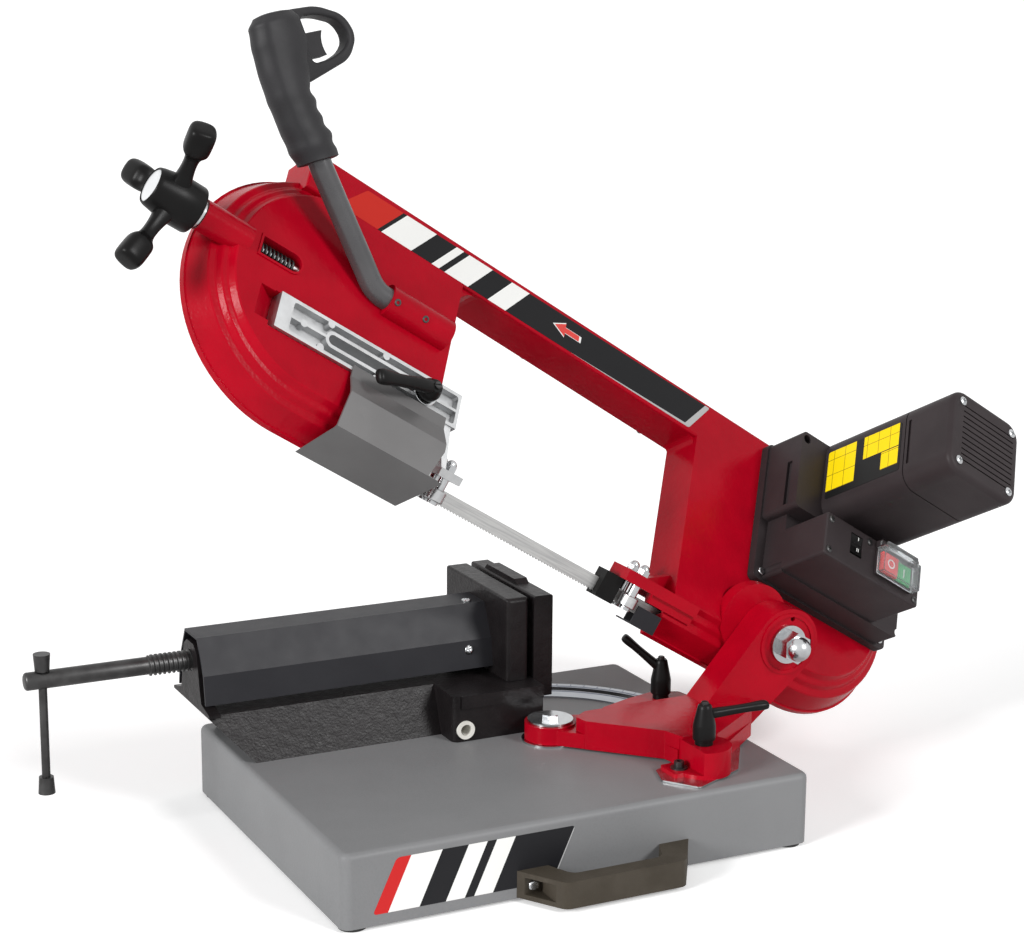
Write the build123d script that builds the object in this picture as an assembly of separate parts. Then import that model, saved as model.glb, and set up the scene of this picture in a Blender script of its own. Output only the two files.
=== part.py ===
from build123d import *
import math
import os

os.makedirs("parts", exist_ok=True)

# Metal cutting band saw: a tray base with a screw vice, a swivelling arm and a tilted saw bow.
# Millimetres, +Z up. The pieces are drawn from the middle of the base footprint, on the floor.
# The operator stands on the -Y side, the nose of the bow points to -X and the motor is at +X.

# Fits shared by every moving pair
RUNNING = 0.05
SLIDING = 0.3

# Base tray
BASE_LENGTH = 415.0
BASE_WIDTH = 330.0
FOOT_HEIGHT = 3.0
TRAY_HEIGHT = 60.4
BASE_TOP = FOOT_HEIGHT + TRAY_HEIGHT
TRAY_WALL = 3.0
TRAY_CORNER = 8.0
TRAY_EDGE = 5.0
TRAY_LIP = 26.0
FOOT_RADIUS = 11.0
FOOT_STEM = 4.0
FOOT_INSET = 13.0
BASE_FRONT = -BASE_WIDTH / 2

# Carry handle on the front of the tray
CARRY_X = 15.0
CARRY_HALF_FACE = 77.0
CARRY_HALF_FRONT = 53.0
CARRY_REACH = 38.0
CARRY_BAR = 15.0
CARRY_FOOT = 27.0
CARRY_Z = (4.0, 26.0)
CARRY_SCREW_X = 66.0
CARRY_FOOT_PLATE = 6.0

# Swivel pivot and mitre slot
PIVOT_X = 51.4
PIVOT_RADIUS = 8.0
PIVOT_BOSS_RADIUS = 22.0
PIVOT_BOSS_TOP = 80.0
PIVOT_STUD = 4.0
PIVOT_HEAD = 13.0
MITRE_WASHER = 1.5
LOCK_INSET = 24.1
LOCK_REACH = BASE_LENGTH / 2 - PIVOT_X - LOCK_INSET
RING_INNER = LOCK_REACH - 22.0
RING_OUTER = LOCK_REACH + 14.0
LOCK_ANGLE = 14.5
MITRE_RANGE = 45.0
STUD_RADIUS = 4.0
SLOT_HALF = STUD_RADIUS + 0.6
LOCK_SLOT = (LOCK_ANGLE - 4.0, LOCK_ANGLE + MITRE_RANGE + 4.0)

# Swivel arm
ARM_BOTTOM = BASE_TOP + MITRE_WASHER + SLIDING
ARM_FLANGE_TOP = 72.0
ARM_LOW_TOP = 78.0
ARM_TOP = 90.0
FRONT_LOCK = (128.0, -126.0)
FRONT_BOSS_RADIUS = 23.0
FRONT_BOSS_TOP = 88.0
POINTER_SCREW = (108.0, -121.0)
POINTER_LUG = 3.5
POINTER_SHANK = 2.5

# Swing axle of the bow
AXLE_X = 257.9
AXLE_Z = BASE_TOP + 71.5
AXLE_RADIUS = 8.0
EAR_FRONT = -48.0
EAR_REAR = -16.0
EAR_RADIUS = 31.0
EAR_POCKET_RADIUS = 17.0
EAR_POCKET_DEPTH = 15.0
BOW_BOSS_RADIUS = 18.0

# Attitude of the bow at rest: raised, and tilted back about its own length
RAISED = math.radians(31.7)
TILT = math.radians(33.0)
AXLE_ALONG = 338.6
AXLE_RISE = 34.26

# Blade and wheels
BLADE_LENGTH = 1735.0
BLADE_WIDTH = 13.0
BLADE_THICKNESS = 0.9
TOOTH_PITCH = 3.2
TOOTH_DEPTH = 1.4
TWIST_S = (-30.0, 210.0)
TWIST_CLEAR = 15.0
WHEEL_RADIUS = 98.5
WHEEL_HALF = 8.5
WHEEL_S = -162.0
WHEEL_T = WHEEL_RADIUS + SLIDING + BLADE_THICKNESS / 2
WHEEL_SPACING = (BLADE_LENGTH - 2 * math.pi * WHEEL_T) / 2
DRIVE_S = WHEEL_S + WHEEL_SPACING
CAVITY_RADIUS = WHEEL_T + 2.3
CAVITY_TOP = 11.0

# Bow casting, in its own frame: s along the bow, t across it, z towards the operator
BACK = -12.0
FACE = 26.0
FLANGE_TOP = -8.0
RIM_WALL = 11.45
RIM_RADIUS = CAVITY_RADIUS + RIM_WALL
DOME = ((RIM_RADIUS - 1.5, FLANGE_TOP), (RIM_RADIUS - 9.0, 13.0), (RIM_RADIUS - 15.0, 14.0),
        (RIM_RADIUS - 18.0, 19.0), (RIM_RADIUS - 22.5, 20.0), (RIM_RADIUS - 26.0, FACE))
THROAT_LEFT = -41.0
THROAT_RIGHT = 233.0
THROAT_ROUNDS = (18.0, 8.0)
BAR_POINTS = ((-205.0, 221.0), (400.0, 210.0), (400.0, 170.5), (-205.0, 185.0))
COVER_THICKNESS = 3.0
# Cover screws round each wheel by their angle, and the others by their place
COVER_INSET = 6.0
IDLER_SCREWS = (158.0, 201.0, 270.0)
DRIVE_SCREWS = (270.0, 20.0, 63.0)
PLAIN_SCREWS = ((THROAT_LEFT - 19.0, 150.0), (60.0, 184.0), (200.0, 180.0), (THROAT_RIGHT + 29.0, 60.0))
SCREW_SHANK = 2.0

# Blade tension: a screw along the bow at the nose
TENSION_T = 110.0
TENSION_Z = 19.2
TENSION_RADIUS = 3.6
TENSION_BOSS = 13.0
WINDOW_S = (-230.0, -192.0)
WINDOW_HALF = 8.0
WINDOW_RIM = 2.0
CARRIAGE_TRAVEL = 5.0
CARRIAGE_S = (-185.0, -140.0)
CARRIAGE_T = (86.0, 120.0)
CARRIAGE_Z = (11.3, 18.0)
IDLER_AXLE = 8.0
KNOB_S = (-330.0, -295.0)
KNOB_RADIUS = 20.0
KNOB_REACH = 57.0
KNOB_END = 12.0
COLLAR_RADIUS = 11.5
NOSE_END = -284.0

# Adjustable blade guide
GUIDE_S = (-204.0, -22.0)
GUIDE_T = (46.0, 78.5)
GUIDE_Z = (14.3, 29.5)
GUIDE_TRAVEL = 90.0
GUIDE_LEVER = (-58.0, 62.0)
GUIDE_BORDER = 3.0
GUIDE_POCKET = 7.0
GUIDE_BOSSES = ((-160.0, 50.0), (-155.0, 74.5), (-100.0, 74.5), (-105.0, 50.0), (-179.0, 62.0))
ROLLER_RADIUS = 8.0
ROLLER_HALF = 5.0
ROLLER_BOLT = 3.0
ROLLER_Y = ROLLER_RADIUS + BLADE_THICKNESS / 2 + SLIDING
FRONT_ROLLER_S = -14.0
REAR_ROLLER_S = 198.0
GUIDE_FOOT_U = (15.0, 22.0)
REAR_SHELF_U = (15.0, 25.0)
REAR_PAD_U = 7.0

# Gear case, motor and switch box on the tail
PLATE_S = (312.0, 482.0)
PLATE_T = (66.0, 206.0)
PLATE_TOP = 34.0
PLATE_SCREWS = ((320.0, 74.0), (474.0, 74.0), (320.0, 198.0), (474.0, 198.0))
GEAR_CASE_TOP = 58.0
GEAR_BLOCK_TOP = 76.0
GEAR_CAVITY_TOP = 54.0
MOTOR_S = (345.0, 432.0)
MOTOR_T = (128.0, 211.0)
MOTOR_END = 226.0
MOTOR_WALL = 3.0
MOTOR_AXIS = (388.5, 169.5)
MOTOR_SEAM = 172.0
SHAFT_RADIUS = 10.0
FIRST_PINION = 5.0
SECOND_GEAR = 24.0
FIRST_GEAR = 32.0
GEAR_SPAN = math.hypot(MOTOR_AXIS[0] - DRIVE_S, MOTOR_AXIS[1] - WHEEL_T)
FIRST_CENTRES = FIRST_PINION + FIRST_GEAR + SLIDING
SECOND_PINION = GEAR_SPAN - FIRST_CENTRES - SECOND_GEAR - SLIDING
MIDDLE_PART = FIRST_CENTRES / GEAR_SPAN
MIDDLE_AXIS = (MOTOR_AXIS[0] + (DRIVE_S - MOTOR_AXIS[0]) * MIDDLE_PART,
               MOTOR_AXIS[1] + (WHEEL_T - MOTOR_AXIS[1]) * MIDDLE_PART)
BOX_S = (322.0, 442.0)
BOX_T = (70.0, 112.0)
BOX_FRONT = 110.0
BOX_WALL = 2.5
BUTTON_S = (388.0, 407.0, 426.0)
BUTTON_T = (82.0, 101.0)
BUTTON_TRAVEL = 3.0
ROCKER_S = 360.0
ROCKER_T = 95.0
ROCKER_Z = BOX_FRONT - 1.5
ROCKER_PIN = 1.2
FLAP_HINGE = (107.5, 116.5)

# Pull handle on the nose
TUBE_RADIUS = 9.5
TUBE_BORE = 7.5
TUBE_PATH = ((-55.0, 124.0, 30.0), (-124.0, 124.0, 30.0), (-215.6, 182.3, 60.0), (-251.6, 219.6, 69.2))
TUBE_BENDS = (32.0, 60.0)
# Grip sections: height along the grip, breadth, thickness and offset towards the finger guard
GRIP_SECTIONS = ((0, 34, 30, -1), (14, 38, 33, -3), (36, 37, 31, -7), (58, 38, 31, -9), (75, 44, 32, -7),
                 (95, 50, 33, -3), (112, 46, 32, -2), (121, 34, 24, -1))
GUARD_OUTER = ((6, 60), (31, 66), (60, 73), (74, 90), (67, 109), (41, 120), (8, 121), (-6, 100))
GUARD_INNER = ((18, 77), (45, 80), (60, 91), (52, 105), (32, 111), (18, 111))
TRIGGER_Z = (80.0, 100.0)
TRIGGER_HALF = 5.0
TRIGGER_TRAVEL = 5.0

# Vice
BED_TOP = 104.0
BED_LEFT = -233.0
LEDGE_S = (-28.0, 57.0)
LEDGE_FRONT = 24.5
LIP_FRONT = 22.8
LIP_BOTTOM = 93.0
JAW_FRONT = 43.0
JAW_BACK = 170.0
JAW_TOP = 178.0
MOVING_JAW_X = (31.0, 52.0)
FIXED_JAW_X = (57.0, 75.0)
SCREW_Y = 105.0
SCREW_Z = 142.0
THREAD_RADIUS = 9.0
ROD_RADIUS = 7.5
JOURNAL_RADIUS = 7.0
SCREW_LEFT = -373.0
THREAD_LEFT = -272.0
TONGUE_HALF = 9.0
TONGUE_DEPTH = 10.0
CHANNEL_WALL = 2.0
TEE_RADIUS = 3.5
TEE_X = -358.0
TEE_LOW = 45.0
BUSH_CENTRE = (-17.0, 74.0)
BUSH_RADIUS = 8.0
BUSH_BORE = 5.0
BED_BOLTS = ((-160.0, 105.0), (-60.0, 105.0), (15.0, 50.0), (15.0, 135.0))
BED_BOLT_RADIUS = 4.0
JAW_BOLT_Y = (62.0, 150.0)
JAW_BOLT_Z = 96.0

# Directions of the bow at rest
along = Vector(math.cos(RAISED), 0, -math.sin(RAISED))
upright = Vector(math.sin(RAISED), 0, math.cos(RAISED))
away = Vector(0, 1, 0)
across = upright * math.cos(TILT) + away * math.sin(TILT)
outward = upright * math.sin(TILT) - away * math.cos(TILT)
axle_point = Vector(AXLE_X, 0, AXLE_Z)
blade_point = axle_point - along * AXLE_ALONG - upright * AXLE_RISE
# The bow frame (s, t, z) and the blade frame (s, y, u) share the blade's middle at the front guide.
bow = Plane(origin=blade_point, x_dir=along, z_dir=outward).location
cut = Plane(origin=blade_point, x_dir=along, z_dir=upright).location
to_bow = bow.inverse() * cut


def block(x, y, z, edge=0.0):
    """Box between pairs of limits, with its Z edges rounded when edge is given."""
    centre = Pos(sum(x) / 2, sum(y) / 2, sum(z) / 2)
    shape = centre * Box(x[1] - x[0], y[1] - y[0], z[1] - z[0])
    if edge:
        shape = fillet(shape.edges().filter_by(Axis.Z), edge)
    return shape


def rod(radius, start, end):
    """Cylinder from one point to another."""
    span = Vector(*end) - Vector(*start)
    return extrude(Plane(origin=start, z_dir=span) * Circle(radius), amount=span.length)


def hexagon(across_flats, start, end):
    """Hexagonal bar from one point to another."""
    span = Vector(*end) - Vector(*start)
    face = RegularPolygon(across_flats / math.sqrt(3), 6)
    return extrude(Plane(origin=start, z_dir=span) * face, amount=span.length)


def prism(points, plane, amount, rounding=0.0):
    """Straight prism on a plane from a closed outline."""
    face = make_face(Polyline(*points, close=True))
    if rounding:
        face = fillet(face.vertices(), rounding)
    return extrude(plane * face, amount=amount)


def ring_face(points):
    """Face of a closed outline."""
    return make_face(Polyline(*points, close=True))


def tangent_point(point, centre, radius, side):
    """Where the line from a point touches a circle, on the chosen side."""
    dx = centre[0] - point[0]
    dy = centre[1] - point[1]
    gap = math.hypot(dx, dy)
    swing = math.acos(radius / gap)
    back = math.atan2(-dy, -dx) + side * swing
    return (centre[0] + radius * math.cos(back), centre[1] + radius * math.sin(back))


def coil(radius, wire, pitch, turns):
    """Round wire wound about +Z from z = 0, on tangent arcs, two to each quarter turn."""
    lead = pitch / (2 * math.pi)

    def spot(angle):
        return Vector(radius * math.cos(angle), radius * math.sin(angle), lead * angle)

    def heading(angle):
        return Vector(-radius * math.sin(angle), radius * math.cos(angle), lead).normalized()

    edges = []
    count = int(round(turns * 4))
    for index in range(count):
        first = index * math.pi / 2
        last = first + math.pi / 2
        p0 = spot(first)
        p1 = spot(last)
        t0 = heading(first)
        t1 = heading(last)
        gap = p1 - p0
        slope = gap.dot(t0 + t1)
        turn = 2 * (1 - t0.dot(t1))
        reach = (-slope + math.sqrt(slope * slope + turn * gap.dot(gap))) / turn
        middle = (p0 + p1 + (t0 - t1) * reach) * 0.5
        edges.append(TangentArc(p0, middle, tangent=t0))
        edges.append(TangentArc(middle, p1, tangent=(p1 - t1 * reach - middle).normalized()))
    path = Wire(edges)
    rings = [path @ (index / (count * 12)) for index in range(count * 12 + 1)]
    close = min((rings[a] - rings[b]).length for a in range(len(rings)) for b in range(a + 30, len(rings)))
    print(f"coil of radius {radius}: least gap between turns {close - 2 * wire:.2f}")
    return sweep(Plane(origin=spot(0), z_dir=heading(0)) * Circle(wire), path=path)


def screw(head_radius, head, shank_radius, shank, start, axis):
    """Pan head screw: the head stands on start, the shank runs the other way."""
    origin = Vector(*start)
    way = Vector(*axis).normalized()
    disc = rod(head_radius, origin, origin + way * head)
    top = fillet(disc.edges().sort_by(Axis(origin, way))[-1:], head * 0.45)
    return top + rod(shank_radius, origin, origin - way * shank)


def clamp_lever(hub_radius, hub_height, reach, rise):
    """Clamp lever: a tapered hub on +Z with an arm that runs to +X and rises to a round grip."""
    hub = Pos(0, 0, hub_height / 2) * Cone(hub_radius, hub_radius * 0.8, hub_height)
    tip = Vector(reach, 0, hub_height + rise)
    root = Vector(0, 0, hub_height - 7)
    span = tip - root
    plane = Plane(origin=root, z_dir=span)
    far = Plane(origin=tip, z_dir=span)
    arm = loft([plane * Circle(5.0), far * Circle(7.5)])
    return hub + arm + Pos(*tip) * Sphere(7.5)


def arc_slot(radius, half, start, end, z):
    """Curved slot about the swivel pivot between two angles in degrees."""
    ring = Circle(radius + half) - Circle(radius - half)
    wedge = [(0, 0)]
    steps = 6
    for index in range(steps + 1):
        angle = math.radians(start + (end - start) * index / steps)
        wedge.append((2 * radius * math.cos(angle), 2 * radius * math.sin(angle)))
    face = ring & ring_face(wedge)
    for angle in (start, end):
        turn = math.radians(angle)
        face += Pos(radius * math.cos(turn), radius * math.sin(turn)) * Circle(half)
    return Pos(PIVOT_X, 0, z[0]) * extrude(face, amount=z[1] - z[0])


def lock_point():
    """Middle of the rear clamp stud, in plan."""
    turn = math.radians(LOCK_ANGLE)
    return (PIVOT_X + LOCK_REACH * math.cos(turn), LOCK_REACH * math.sin(turn))


def base_tray():
    """Pressed tray, open below, with a turned-in lip that carries the feet."""
    half_x = BASE_LENGTH / 2
    half_y = BASE_WIDTH / 2
    outer = block((-half_x, half_x), (-half_y, half_y), (FOOT_HEIGHT, BASE_TOP), TRAY_CORNER)
    outer = fillet(outer.faces().sort_by(Axis.Z)[-1].edges(), TRAY_EDGE)
    x = (-half_x + TRAY_WALL, half_x - TRAY_WALL)
    y = (-half_y + TRAY_WALL, half_y - TRAY_WALL)
    hollow = block(x, y, (FOOT_HEIGHT + TRAY_WALL, BASE_TOP - TRAY_WALL), TRAY_CORNER - TRAY_WALL)
    hollow = fillet(hollow.faces().sort_by(Axis.Z)[-1].edges(), TRAY_EDGE - TRAY_WALL)
    x = (-half_x + TRAY_LIP, half_x - TRAY_LIP)
    y = (-half_y + TRAY_LIP, half_y - TRAY_LIP)
    mouth = block(x, y, (0, FOOT_HEIGHT + 2 * TRAY_WALL), TRAY_CORNER)
    shape = outer - hollow - mouth
    for px, py in foot_points():
        shape -= rod(FOOT_STEM, (px, py, 0), (px, py, FOOT_HEIGHT + 2 * TRAY_WALL))
    for px, py in BED_BOLTS:
        shape -= rod(BED_BOLT_RADIUS, (px, py, BASE_TOP - 10), (px, py, BASE_TOP + 10))
    for side in (-1, 1):
        px = CARRY_X + side * CARRY_SCREW_X
        pz = sum(CARRY_Z) / 2
        shape -= rod(2.5, (px, BASE_FRONT - 5, pz), (px, BASE_FRONT + 10, pz))
    shape -= rod(PIVOT_RADIUS, (PIVOT_X, 0, BASE_TOP - 10), (PIVOT_X, 0, BASE_TOP + 10))
    return shape - arc_slot(LOCK_REACH, SLOT_HALF, *LOCK_SLOT, (BASE_TOP - 10, BASE_TOP + 10))


def foot_points():
    """Middles of the four feet."""
    x = BASE_LENGTH / 2 - FOOT_INSET
    y = BASE_WIDTH / 2 - FOOT_INSET
    return [(-x, -y), (x, -y), (-x, y), (x, y)]


def base_feet():
    """Four rubber feet pushed through the lip."""
    top = FOOT_HEIGHT + TRAY_WALL
    feet = []
    for px, py in foot_points():
        foot = rod(FOOT_RADIUS, (px, py, 0), (px, py, FOOT_HEIGHT))
        foot += rod(FOOT_STEM, (px, py, FOOT_HEIGHT), (px, py, top))
        foot += rod(FOOT_STEM + 2.5, (px, py, top), (px, py, top + 2))
        feet.append(foot)
    return Compound(feet)


def carry_handle():
    """Moulded grip on the tray front with splayed feet and a finger gap behind the bar."""
    face = BASE_FRONT
    front = BASE_FRONT - CARRY_REACH
    outer = [(-CARRY_HALF_FACE, face), (-CARRY_HALF_FRONT, front)]
    outer += [(CARRY_HALF_FRONT, front), (CARRY_HALF_FACE, face)]
    gap_face = CARRY_HALF_FACE - CARRY_FOOT
    gap_front = CARRY_HALF_FRONT - 13.0
    gap_y = front + CARRY_BAR
    inner = [(-gap_face, face + 5), (-gap_face, face), (-gap_front, gap_y)]
    inner += [(gap_front, gap_y), (gap_face, face), (gap_face, face + 5)]
    shape = ring_face(outer)
    shape = fillet(shape.vertices().sort_by(Axis.Y)[:2], 9.0)
    hole = ring_face(inner)
    hole = fillet(hole.vertices().sort_by(Axis.Y)[:2], 10.0)
    shape = Pos(CARRY_X, 0, CARRY_Z[0]) * extrude(shape - hole, amount=CARRY_Z[1] - CARRY_Z[0])
    for side in (-1, 1):
        x0 = CARRY_X + side * (CARRY_SCREW_X - 8)
        x1 = CARRY_X + side * (CARRY_HALF_FACE + 5)
        y = (front - 2, face - CARRY_FOOT_PLATE)
        shape -= block(sorted((x0, x1)), y, (CARRY_Z[0] + 4, CARRY_Z[1] - 4))
        px = CARRY_X + side * CARRY_SCREW_X
        pz = sum(CARRY_Z) / 2
        shape -= rod(2.5, (px, face - 20, pz), (px, face + 2, pz))
    return shape


def carry_handle_screws():
    """Two screws through the handle feet, each with a nut inside the tray."""
    group = []
    for side in (-1, 1):
        px = CARRY_X + side * CARRY_SCREW_X
        pz = sum(CARRY_Z) / 2
        seat = BASE_FRONT - CARRY_FOOT_PLATE
        one = screw(4.5, 3.0, 2.5, CARRY_FOOT_PLATE + TRAY_WALL + 5, (px, seat, pz), (0, -1, 0))
        inside = BASE_FRONT + TRAY_WALL
        group.append(one + hexagon(8.0, (px, inside, pz), (px, inside + 4, pz)))
    return Compound(group)


def mitre_ring():
    """Flat steel arc that the swivel arm slides on, with the clamp slot."""
    plate = arc_slot((RING_INNER + RING_OUTER) / 2, (RING_OUTER - RING_INNER) / 2, 9.0, 66.0,
                     (BASE_TOP, BASE_TOP + MITRE_WASHER))
    return plate - arc_slot(LOCK_REACH, SLOT_HALF, *LOCK_SLOT, (BASE_TOP - 1, BASE_TOP + 10))


def vice_bed():
    """Cast bed: a sloped beam with an overhanging left end, a work ledge and a key slot."""
    beam = prism([(50, BASE_TOP), (150, BASE_TOP), (146, BED_TOP), (66, BED_TOP)],
                 Plane.YZ.offset(BED_LEFT), LEDGE_S[0] + 8 - BED_LEFT)
    wedge = [(BED_LEFT - 10, BASE_TOP - 1), (-196, BASE_TOP - 1), (-196, BASE_TOP), (BED_LEFT, BED_TOP)]
    wedge += [(BED_LEFT - 10, BED_TOP)]
    beam -= prism(wedge, Plane.XZ.offset(-200), 300)
    ledge = block(LEDGE_S, (LEDGE_FRONT, 150), (BASE_TOP, BED_TOP))
    inner = ledge.edges().filter_by(Axis.Z).group_by(Axis.X)[0].sort_by(Axis.Y)[0]
    ledge = fillet(inner, 6.0)
    lip = block((LEDGE_S[0] + 7, LEDGE_S[1]), (LIP_FRONT, LEDGE_FRONT + 3), (LIP_BOTTOM, BED_TOP))
    shape = beam + ledge + lip
    slot_half = TONGUE_HALF + SLIDING
    floor = BED_TOP - TONGUE_DEPTH - SLIDING
    shape -= block((-130, LEDGE_S[1] + 1), (SCREW_Y - slot_half, SCREW_Y + slot_half), (floor, BED_TOP + 1))
    bush_x, bush_z = BUSH_CENTRE
    shape -= rod(BUSH_RADIUS, (bush_x, LEDGE_FRONT - 5, bush_z), (bush_x, LEDGE_FRONT + 20, bush_z))
    for px, py in BED_BOLTS:
        shape -= rod(BED_BOLT_RADIUS, (px, py, BASE_TOP - 1), (px, py, BASE_TOP + 22))
    for py in JAW_BOLT_Y:
        shape -= rod(BED_BOLT_RADIUS, (LEDGE_S[1] - 22, py, JAW_BOLT_Z), (LEDGE_S[1] + 1, py, JAW_BOLT_Z))
    return shape


def vice_bolts():
    """Hexagon bolts of one size: four up through the tray, two through the fixed jaw."""
    group = []
    under = BASE_TOP - TRAY_WALL
    for px, py in BED_BOLTS:
        bolt = rod(BED_BOLT_RADIUS, (px, py, under), (px, py, BASE_TOP + 22))
        group.append(bolt + hexagon(13.0, (px, py, under - 5.5), (px, py, under)))
    for py in JAW_BOLT_Y:
        face = FIXED_JAW_X[1]
        bolt = rod(BED_BOLT_RADIUS, (LEDGE_S[1] - 22, py, JAW_BOLT_Z), (face, py, JAW_BOLT_Z))
        group.append(bolt + hexagon(13.0, (face, py, JAW_BOLT_Z), (face + 5.5, py, JAW_BOLT_Z)))
    return Compound(group)


def nut_bracket():
    """Upright nut plate at the left end of the bed."""
    low = BED_TOP
    half = 46.0
    outline = [(SCREW_Y - half, low), (SCREW_Y + half, low), (SCREW_Y + half, low + 2.5)]
    outline += [(SCREW_Y + 26, low + 7), (SCREW_Y + 23, low + 17), (SCREW_Y + 17, low + 48)]
    outline += [(SCREW_Y + 8, low + 54), (SCREW_Y - 8, low + 54), (SCREW_Y - 17, low + 48)]
    outline += [(SCREW_Y - 23, low + 17), (SCREW_Y - 26, low + 7), (SCREW_Y - half, low + 2.5)]
    plate = prism(outline, Plane.YZ.offset(BED_LEFT), 10.0)
    plate += rod(THREAD_RADIUS + 6, (BED_LEFT, SCREW_Y, SCREW_Z), (BED_LEFT + 24, SCREW_Y, SCREW_Z))
    bore = THREAD_RADIUS + RUNNING
    return plate - rod(bore, (BED_LEFT - 5, SCREW_Y, SCREW_Z), (BED_LEFT + 30, SCREW_Y, SCREW_Z))


def bar_stop_bush():
    """Plain bush in the ledge for a length stop bar."""
    x, z = BUSH_CENTRE
    bush = rod(BUSH_RADIUS, (x, LEDGE_FRONT - 2, z), (x, LEDGE_FRONT + 20, z))
    return bush - rod(BUSH_BORE, (x, LEDGE_FRONT - 5, z), (x, LEDGE_FRONT + 25, z))


def fixed_jaw():
    """Jaw plate bolted over the right end of the bed, thicker at its far half."""
    plate = block(FIXED_JAW_X, (JAW_FRONT, JAW_BACK), (LIP_BOTTOM - 6, JAW_TOP))
    rib = block((FIXED_JAW_X[1] - 2, FIXED_JAW_X[1] + 8), (92, JAW_BACK), (BED_TOP + 2, JAW_TOP - 20))
    rib = fillet(rib.edges().filter_by(Axis.Z).group_by(Axis.X)[-1], 5.0)
    shape = plate + rib
    shape = fillet(shape.edges().filter_by(Axis.Y).group_by(Axis.Z)[-1], 2.0)
    bump = [(78, JAW_TOP - 4), (152, JAW_TOP - 4), (143, JAW_TOP + 4), (88, JAW_TOP + 4)]
    shape += prism(bump, Plane.YZ.offset(FIXED_JAW_X[0] + 3), 12.0)
    for py in JAW_BOLT_Y:
        start = (LEDGE_S[1] - 5, py, JAW_BOLT_Z)
        shape -= rod(BED_BOLT_RADIUS, start, (FIXED_JAW_X[1] + 9, py, JAW_BOLT_Z))
    return shape


def moving_jaw():
    """Sliding jaw with its key and the boss that takes the screw end."""
    x0, x1 = MOVING_JAW_X
    low = BED_TOP + SLIDING
    shape = block((x0, x1), (JAW_FRONT, JAW_BACK), (low, JAW_TOP))
    shape = fillet(shape.edges().filter_by(Axis.Y).group_by(Axis.Z)[-1], 2.0)
    shape = fillet(shape.edges().filter_by(Axis.Z).group_by(Axis.X)[0], 4.0)
    shape += block((x0, x1), (SCREW_Y - TONGUE_HALF, SCREW_Y + TONGUE_HALF), (BED_TOP - TONGUE_DEPTH, low))
    shape += block((x0 - 13, x0), (SCREW_Y - 14, SCREW_Y + 14), (126, 163))
    bore = JOURNAL_RADIUS + RUNNING
    shape -= rod(bore, (x0 - 4, SCREW_Y, SCREW_Z), (x1 - 6, SCREW_Y, SCREW_Z))
    shape -= rod(THREAD_RADIUS + SLIDING, (x0 - 20, SCREW_Y, SCREW_Z), (x0 - 3, SCREW_Y, SCREW_Z))
    return shape


def vice_channel():
    """Folded cover over the screw, carried by the sliding jaw."""
    top = 165.0
    outer = [(-35, 111.5), (-31, 136), (-16, top), (16, top), (31, 136), (35, 111.5)]
    w = CHANNEL_WALL
    inner = [(35 - w, 111.5), (31 - w, 136.6), (16 - w * 0.55, top - w)]
    inner += [(-16 + w * 0.55, top - w), (-31 + w, 136.6), (-35 + w, 111.5)]
    points = [(SCREW_Y + y, z) for y, z in outer + inner]
    return prism(points, Plane.YZ.offset(BED_LEFT + 1), MOVING_JAW_X[0] - BED_LEFT - 1)


def vice_screw():
    """Lead screw with a plain rod at the left for the tee bar."""
    x0 = MOVING_JAW_X[0]
    y = SCREW_Y
    z = SCREW_Z
    shape = rod(ROD_RADIUS, (SCREW_LEFT, y, z), (THREAD_LEFT, y, z))
    shape = fillet(shape.edges().sort_by(Axis.X)[:1], 2.0)
    shape += rod(THREAD_RADIUS, (THREAD_LEFT, y, z), (x0 - 3 - SLIDING, y, z))
    shape += rod(JOURNAL_RADIUS, (x0 - 4, y, z), (MOVING_JAW_X[1] - 6 - SLIDING, y, z))
    return shape - rod(TEE_RADIUS + RUNNING, (TEE_X, y, z - 20), (TEE_X, y, z + 20))


def tee_bar():
    """Bar through the rod with a head at each end; it hangs by its upper head."""
    y = SCREW_Y
    rest = SCREW_Z + ROD_RADIUS + SLIDING
    shape = rod(TEE_RADIUS, (TEE_X, y, TEE_LOW + 5), (TEE_X, y, rest + 5))
    upper = Pos(TEE_X, y, rest + 7) * Cone(6.0, 7.0, 14.0)
    lower = Pos(TEE_X, y, TEE_LOW + 7) * Cone(7.0, 6.0, 14.0)
    return shape + upper + lower


def pivot_bolt():
    """Swivel pin: a shoulder through the arm, a low hexagon head above and a nut under the tray."""
    shoulder = PIVOT_BOSS_TOP + SLIDING
    seat = shoulder + 2.0
    under = BASE_TOP - TRAY_WALL
    shape = rod(PIVOT_RADIUS, (PIVOT_X, 0, under - 16), (PIVOT_X, 0, shoulder))
    shape += rod(PIVOT_STUD, (PIVOT_X, 0, shoulder), (PIVOT_X, 0, seat))
    shape += hexagon(PIVOT_HEAD, (PIVOT_X, 0, seat), (PIVOT_X, 0, seat + 4))
    return shape + hexagon(24.0, (PIVOT_X, 0, under - 13), (PIVOT_X, 0, under))


def pivot_washers():
    """Washer under the bolt head and thrust washer under the arm."""
    seat = PIVOT_BOSS_TOP + SLIDING
    group = []
    sizes = ((19.6, PIVOT_STUD, seat, seat + 2.0), (24.5, PIVOT_RADIUS, BASE_TOP, BASE_TOP + MITRE_WASHER))
    for radius, bore, low, high in sizes:
        washer = rod(radius, (PIVOT_X, 0, low), (PIVOT_X, 0, high))
        group.append(washer - rod(bore, (PIVOT_X, 0, low - 1), (PIVOT_X, 0, high + 1)))
    return Compound(group)


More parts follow.
